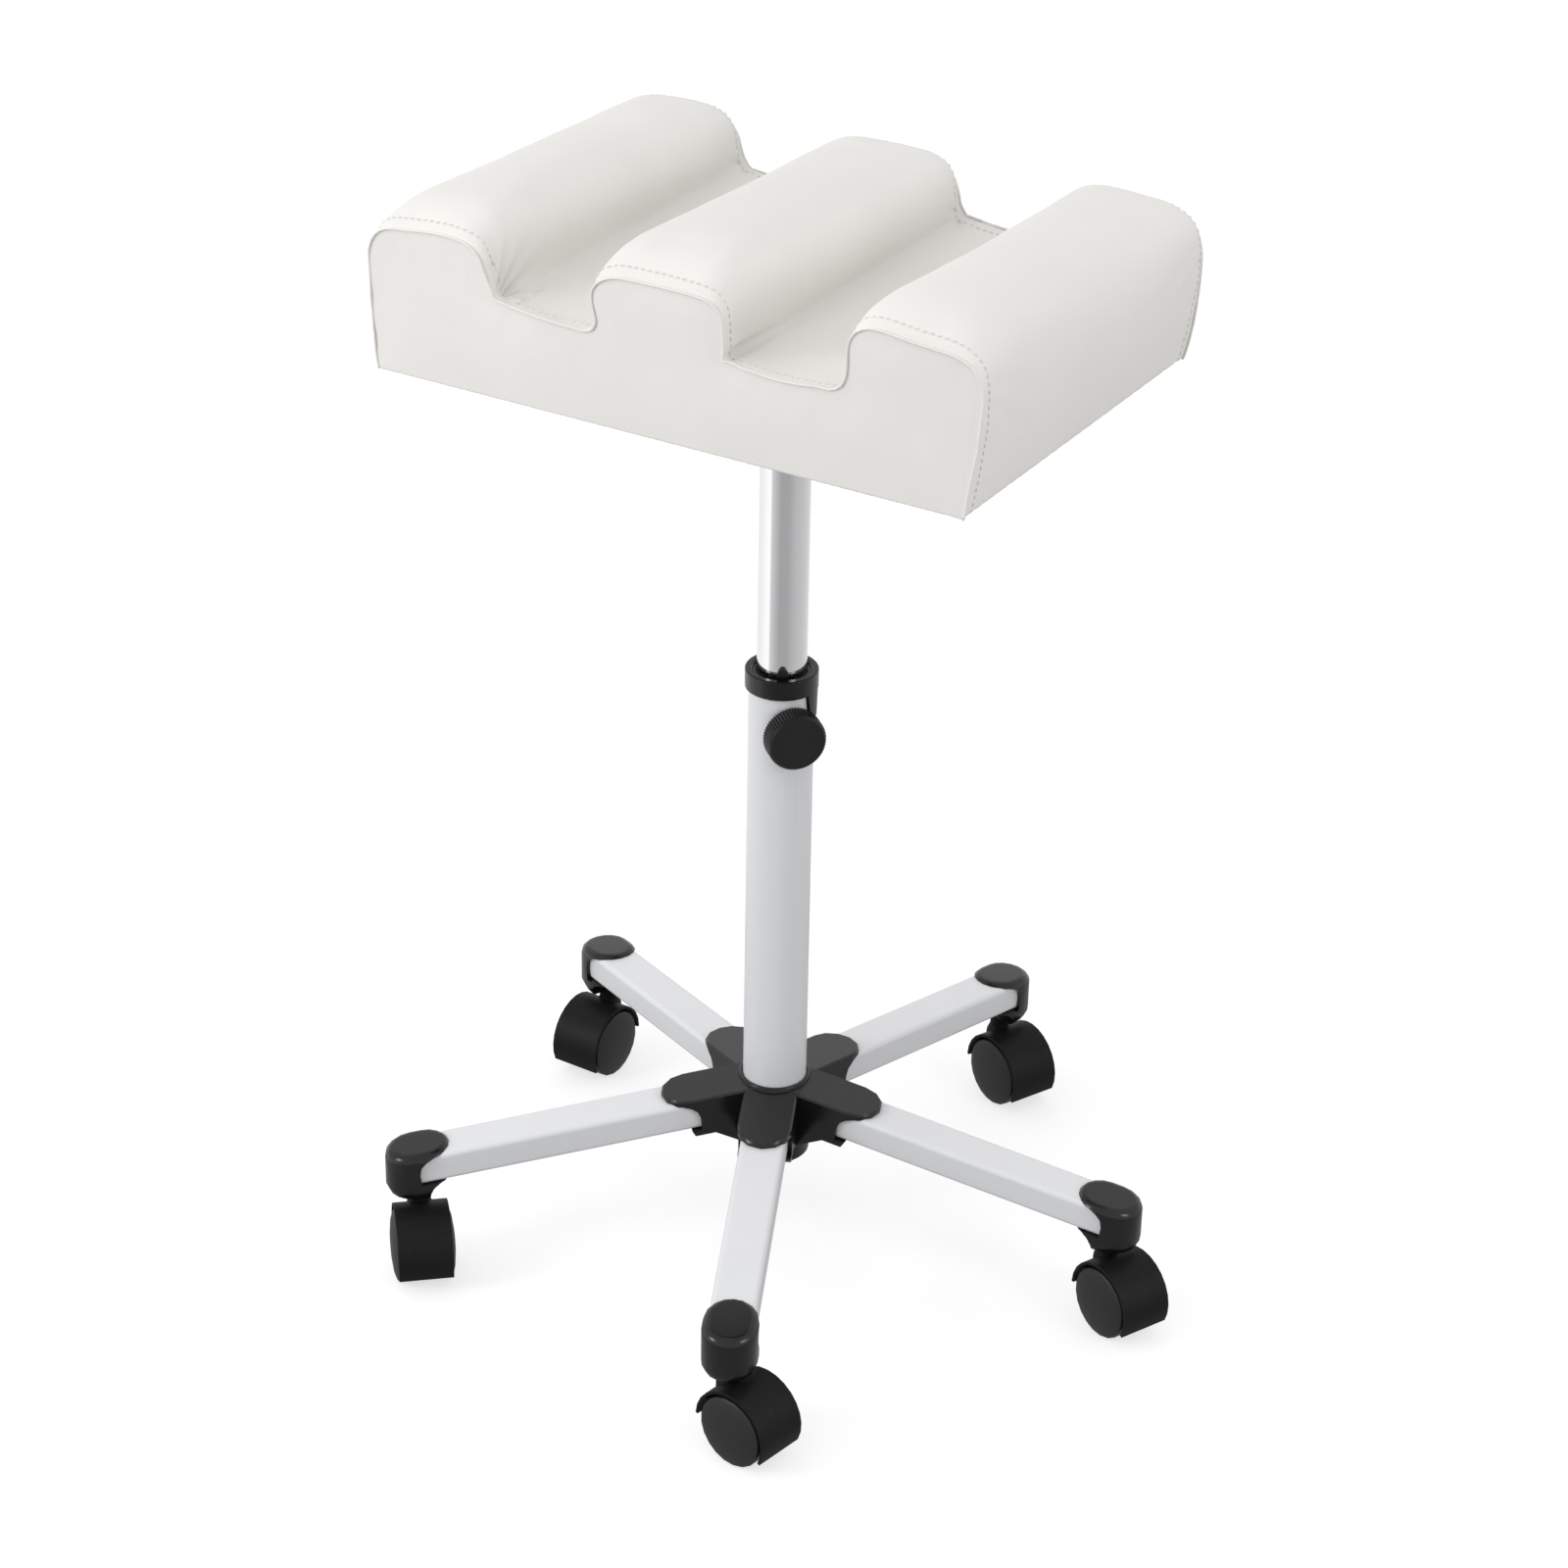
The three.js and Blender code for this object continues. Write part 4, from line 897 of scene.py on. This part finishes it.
class STOOL_OT_finishes(bpy.types.Operator):
    """Give the CAD pieces their materials and slightly rounded edges"""

    bl_idname = "stool.finishes"
    bl_label = "Finishes"

    def execute(self, context):
        kinds = piece_finishes(context.scene.stool_finish)
        for name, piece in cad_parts.items():
            for start, material, rounding in kinds:
                if name.startswith(start):
                    dress(piece, material, rounding)
                    break
        return {"FINISHED"}


class STOOL_OT_hub_lip(bpy.types.Operator):
    """Make the raised lip that the hub has round the column"""

    bl_idname = "stool.hub_lip"
    bl_label = "Hub lip"

    def execute(self, context):
        settings = context.scene.stool_hub
        low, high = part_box("outer_tube")
        bore = (high.x - low.x) / 2 + settings.bore_gap
        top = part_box("hub")[1].z + settings.lip_rise
        mesh = bmesh.new()
        rings = []
        turns = [2 * math.pi * i / LIP_SIDES for i in range(LIP_SIDES)]
        for radius, height in self.outline(settings, bore, top):
            rings.append([mesh.verts.new((radius * math.cos(t), radius * math.sin(t), height))
                          for t in turns])
        for first, second in zip(rings, rings[1:] + rings[:1]):
            ring_faces(mesh, first, second)
        material = bpy.data.materials["black_abs_hub_moulded"]
        new_piece("hub_lip", mesh, material, middle_of(low, high, 0), "base")
        return {"FINISHED"}

    def outline(self, settings, bore, top):
        """The lip's section: a straight bore, a rounded crest and a wall that flares into the hub."""
        half = settings.lip_wall / 2
        points = [(bore, top - settings.lip_depth), (bore, top - half)]
        for step in range(1, 8):
            turn = math.pi * (1 - step / 8)
            points.append((bore + half + half * math.cos(turn), top - half + half * math.sin(turn)))
        points += [(bore + 2 * half + out * MM, top - half - fall * (settings.lip_depth - half))
                   for out, fall in LIP_FLARE]
        return points


class STOOL_OT_padded_top(bpy.types.Operator):
    """Sew the padded top's cover and let the foam fill it"""

    bl_idname = "stool.padded_top"
    bl_label = "Padded top"

    def execute(self, context):
        settings = context.scene.stool_pad
        finish = context.scene.stool_finish
        low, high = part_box("cushion")
        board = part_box("cushion_board")
        place = middle_of(low, high, low.z)
        depth = high.y - low.y - 2 * END_BULGE
        leatherette = leatherette_material(finish)
        mesh, pinned = cover_mesh(settings, place, depth, board)
        mesh.verts.index_update()
        weights = {vert.index: weight for vert, weight in pinned.items()}
        self.crease_seams(mesh, depth)
        cover = new_piece("cushion_cover", mesh, leatherette, place, "seat")
        puff_up(cover, weights, settings)
        subdivide(cover)
        for left, right in FOLD_ZONES:
            near, far = (distance - depth / 2 for distance in FOLD_DEPTHS)
            refine(cover, (left, near, FOLD_FOOT), (right, far, math.inf))
        crease_cover(cover, depth)
        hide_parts("cushion")
        self.sew(settings, cover, place, depth, leatherette, thread_material(finish))
        return {"FINISHED"}

    def crease_seams(self, mesh, depth):
        """Marks the edges along both seams, so that they stay crisp."""
        crease = mesh.edges.layers.float.new("crease_edge")
        for edge in mesh.edges:
            at_seam = all(abs(abs(vert.co.y) - depth / 2) < WELD_GAP for vert in edge.verts)
            beside_top = any(abs(face.normal.y) < 0.5 for face in edge.link_faces)
            if at_seam and beside_top and edge.verts[0].co.z > 0:
                edge[crease] = SEAM_CRISPNESS

    def sew(self, settings, cover, place, depth, leatherette, thread):
        """Adds the folded edge along each seam and the row of topstitches behind it."""
        grid = cover_grid(settings, depth)
        tree = surface_tree(cover)
        welt, stitches = bmesh.new(), bmesh.new()
        for seam_row, stitch_row in ((0, STITCH_ROW), (-1, -1 - STITCH_ROW)):
            path = laid_path(tree, grid[:, seam_row], WELT_SPACING)
            sweep_round(welt, path, settings.welt / 2, settings.welt / 2)
            path = laid_path(tree, grid[:, stitch_row], settings.stitch_pitch)
            stitch_mesh(stitches, path, settings.stitch / settings.stitch_pitch, settings.thread / 2)
        new_piece("cushion_welt", welt, leatherette, place, "seat")
        new_piece("cushion_stitches", stitches, thread, place, "seat")


# Stage

class StageSettings(bpy.types.PropertyGroup):
    """Camera and light."""

    azimuth: angle("Azimuth", "Where the camera stands, from the front towards the right", 30.37)
    elevation: angle("Elevation", "How far the camera looks down", 28.57)
    roll: angle("Roll", "How far the camera is turned about its own view", 1.083)
    distance: length("Distance", "From the camera to what it looks at", 2270.8)
    target: bpy.props.FloatVectorProperty(
        name="Target", description="What the camera looks at, from the column's middle at the floor",
        subtype="XYZ", unit="LENGTH", default=(2.1 * MM, 1.2 * MM, 306 * MM))
    lens: number("Lens", "Focal length in millimetres on a 36 mm sensor", 90.38)
    key: number("Key", "Watts of the lamp at the front left", 9)
    fill: number("Fill", "Watts of the lamp at the right", 5)
    sky: number("Sky", "Strength of the light from all round", 0.6)
    side: number("Side", "Strength of the extra light from the left", 0.5)
    overhead: number("Overhead", "Strength of the extra light from straight above", 0.3)
    ceiling: number("Ceiling", "How bright the studio's ceiling looks in shiny things", 0.82)
    # Painted light and painted shade on the floor, which only shiny things show.
    painted_floor_glow: number("Floor glow", "How bright the brightest part of the floor looks in shiny things", 1.4)
    painted_floor_shade: number("Floor under", "How bright the floor under the stool looks in shiny things", 0.42)


def add_camera(stage):
    """A camera at the photograph's place."""
    azimuth, elevation = stage.azimuth, stage.elevation
    back = Vector((math.sin(azimuth) * math.cos(elevation), -math.cos(azimuth) * math.cos(elevation),
                   math.sin(elevation)))
    data = bpy.data.cameras.new("camera")
    data.lens = stage.lens
    data.sensor_width = SENSOR_MM
    camera = add_object("camera", data)
    camera.location = middle_of(*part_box("outer_tube"), 0) + Vector(stage.target) + back * stage.distance
    camera.rotation_mode = "QUATERNION"
    camera.rotation_quaternion = (-back).to_track_quat("-Z", "Y") @ Quaternion((0, 0, 1), stage.roll)
    bpy.context.scene.camera = camera


def add_lamp(name, place, size, power):
    """A soft square lamp that looks at the stool's upper half."""
    data = bpy.data.lights.new(name, "AREA")
    data.shape = "SQUARE"
    data.size = size
    data.energy = power
    lamp = add_object(name, data)
    lamp.location = place
    lamp.rotation_mode = "QUATERNION"
    lamp.rotation_quaternion = (Vector(LAMP_AIM) - Vector(place)).to_track_quat("-Z", "Y")


def ray_kinds(tree):
    """Which rays show the background as it is, and which are mirrored: 1 or 0 each."""
    rays = add_node(tree, "LightPath").outputs
    direct = reckoned(tree, "MAXIMUM", rays["Is Camera Ray"], rays["Is Transmission Ray"])
    return direct, rays["Is Glossy Ray"]


def mixed_value(tree, share, first, second):
    """A number between two numbers by a share from 0 to 1."""
    return add_node(tree, "Mix", {0: share, 2: first, 3: second}).outputs[0]


def lobe(tree, way, direction, strength):
    """Light that is strongest from one direction and fades to nothing a quarter turn away from it."""
    facing = add_node(tree, "VectorMath", {0: way, 1: direction}, operation="DOT_PRODUCT")
    return reckoned(tree, "MULTIPLY", reckoned(tree, "MAXIMUM", facing.outputs["Value"], 0), strength)


def add_world(stage):
    """White behind the stool, soft light from all round, and a plain studio in reflections."""
    world = bpy.data.worlds.new("studio")
    bpy.context.scene.world = world
    world.use_nodes = True
    tree = world.node_tree
    tree.nodes.clear()
    way = add_node(tree, "TexCoord").outputs["Generated"]
    side = lobe(tree, way, SIDE_LIGHT, stage.side)
    overhead = lobe(tree, way, (0, 0, 1), stage.overhead)
    sky = reckoned(tree, "ADD", reckoned(tree, "ADD", side, overhead), stage.sky)
    height = add_node(tree, "SeparateXYZ", {0: way}).outputs["Z"]
    mirrored = spread(tree, height, 1, stage.ceiling, *WALL_TO_CEILING, interpolation_type="SMOOTHSTEP")
    direct, glossy = ray_kinds(tree)
    light = mixed_value(tree, glossy, sky, mirrored)
    strength = mixed_value(tree, direct, light, 1)
    lit = add_node(tree, "Background", {"Color": linear("#FFFFFF"), "Strength": strength})
    add_node(tree, "OutputWorld", {"Surface": lit.outputs[0]})


def floor_material(finish, stage):
    """A matt studio floor, white to the camera but for the stool's shadow; in reflections it glows with
    painted light, brightest at the left, and painted shade under the stool.
    """
    material, tree, place = start_material("pale_studio_floor")
    shade = toned(tree, clouds(tree, place, FLOOR_CLOUD_MM), finish.floor, 0.985)
    direct, glossy = ray_kinds(tree)
    # Painted light for shiny things: the floor's glow rises and falls round the stool, brightest at the
    # left.
    turned = add_node(tree, "Mapping",
                      {"Vector": place, "Rotation": (0, 0, math.radians(FLOOR_TURN))})
    around = add_node(tree, "TexGradient", {"Vector": turned.outputs[0]}, gradient_type="RADIAL")
    tones = add_node(tree, "ValToRGB", {0: around.outputs[1]})
    for angle, tone in PAINTED_FLOOR_LIGHT:
        step = tones.color_ramp.elements.new(0.5 + angle / 360)
        step.color = (tone, tone, tone, 1)
    painted_floor_light_level = reckoned(tree, "MULTIPLY", tones.outputs[0], stage.painted_floor_glow)
    # Painted shade under the stool, which only shiny things show.
    reach = add_node(tree, "VectorMath", {0: place}, operation="LENGTH").outputs["Value"]
    shaded = mixed_value(tree, spread(tree, reach, 1, 0, *PAINTED_SHADE_UNDER_STOOL), painted_floor_light_level, stage.painted_floor_shade)
    mirrored = mixed_value(tree, glossy, 0, shaded)
    set_shader(tree, Base_Color=blend_colours(tree, glossy, shade, linear("#000000")),
               Roughness=0.9, Specular_IOR_Level=0, Emission_Color=linear("#FFFFFF"),
               Emission_Strength=mixed_value(tree, direct, mirrored, FLOOR_WHITE))
    return material


def add_floor(finish, stage):
    """A wide round floor under the stool."""
    mesh = bmesh.new()
    bmesh.ops.create_circle(mesh, cap_ends=True, radius=FLOOR_RADIUS, segments=96)
    data = bpy.data.meshes.new("floor")
    mesh.to_mesh(data)
    mesh.free()
    data.materials.append(floor_material(finish, stage))
    add_object("floor", data)


class STOOL_OT_stage(bpy.types.Operator):
    """Set up the camera, the floor and the studio light"""

    bl_idname = "stool.stage"
    bl_label = "Stage"

    def execute(self, context):
        stage = context.scene.stool_stage
        add_camera(stage)
        add_world(stage)
        add_floor(context.scene.stool_finish, stage)
        for name, place, size in LAMPS:
            add_lamp(name, place, size, getattr(stage, name))
        context.scene.view_settings.view_transform = "Standard"
        return {"FINISHED"}


class STOOL_PT_sidebar(bpy.types.Panel):
    """The stool's settings and steps"""

    bl_label = "Pedicure stool"
    bl_idname = "STOOL_PT_sidebar"
    bl_space_type = "VIEW_3D"
    bl_region_type = "UI"
    bl_category = "Pedicure stool"

    def draw(self, context):
        for group_name in SETTINGS:
            group = getattr(context.scene, group_name)
            box = self.layout.box()
            for name in group.__annotations__:
                box.prop(group, name)
        for operator in OPERATORS:
            self.layout.operator(operator.bl_idname)


SETTINGS = {"stool_pad": PadSettings, "stool_hub": HubSettings, "stool_finish": FinishSettings,
            "stool_stage": StageSettings}
OPERATORS = (STOOL_OT_stage, STOOL_OT_finishes, STOOL_OT_hub_lip, STOOL_OT_padded_top)


def register():
    """Registers the classes and hangs the settings on the scene."""
    for name, group in SETTINGS.items():
        bpy.utils.register_class(group)
        setattr(bpy.types.Scene, name, bpy.props.PointerProperty(type=group))
    for operator in OPERATORS:
        bpy.utils.register_class(operator)
    bpy.utils.register_class(STOOL_PT_sidebar)


def unregister():
    """Takes the settings and classes away again."""
    bpy.utils.unregister_class(STOOL_PT_sidebar)
    for operator in reversed(OPERATORS):
        bpy.utils.unregister_class(operator)
    for name, group in SETTINGS.items():
        delattr(bpy.types.Scene, name)
        bpy.utils.unregister_class(group)


def main():
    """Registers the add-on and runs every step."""
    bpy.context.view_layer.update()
    register()
    bpy.ops.stool.stage()
    bpy.ops.stool.finishes()
    bpy.ops.stool.hub_lip()
    bpy.ops.stool.padded_top()


if __name__ == "__main__":
    main()
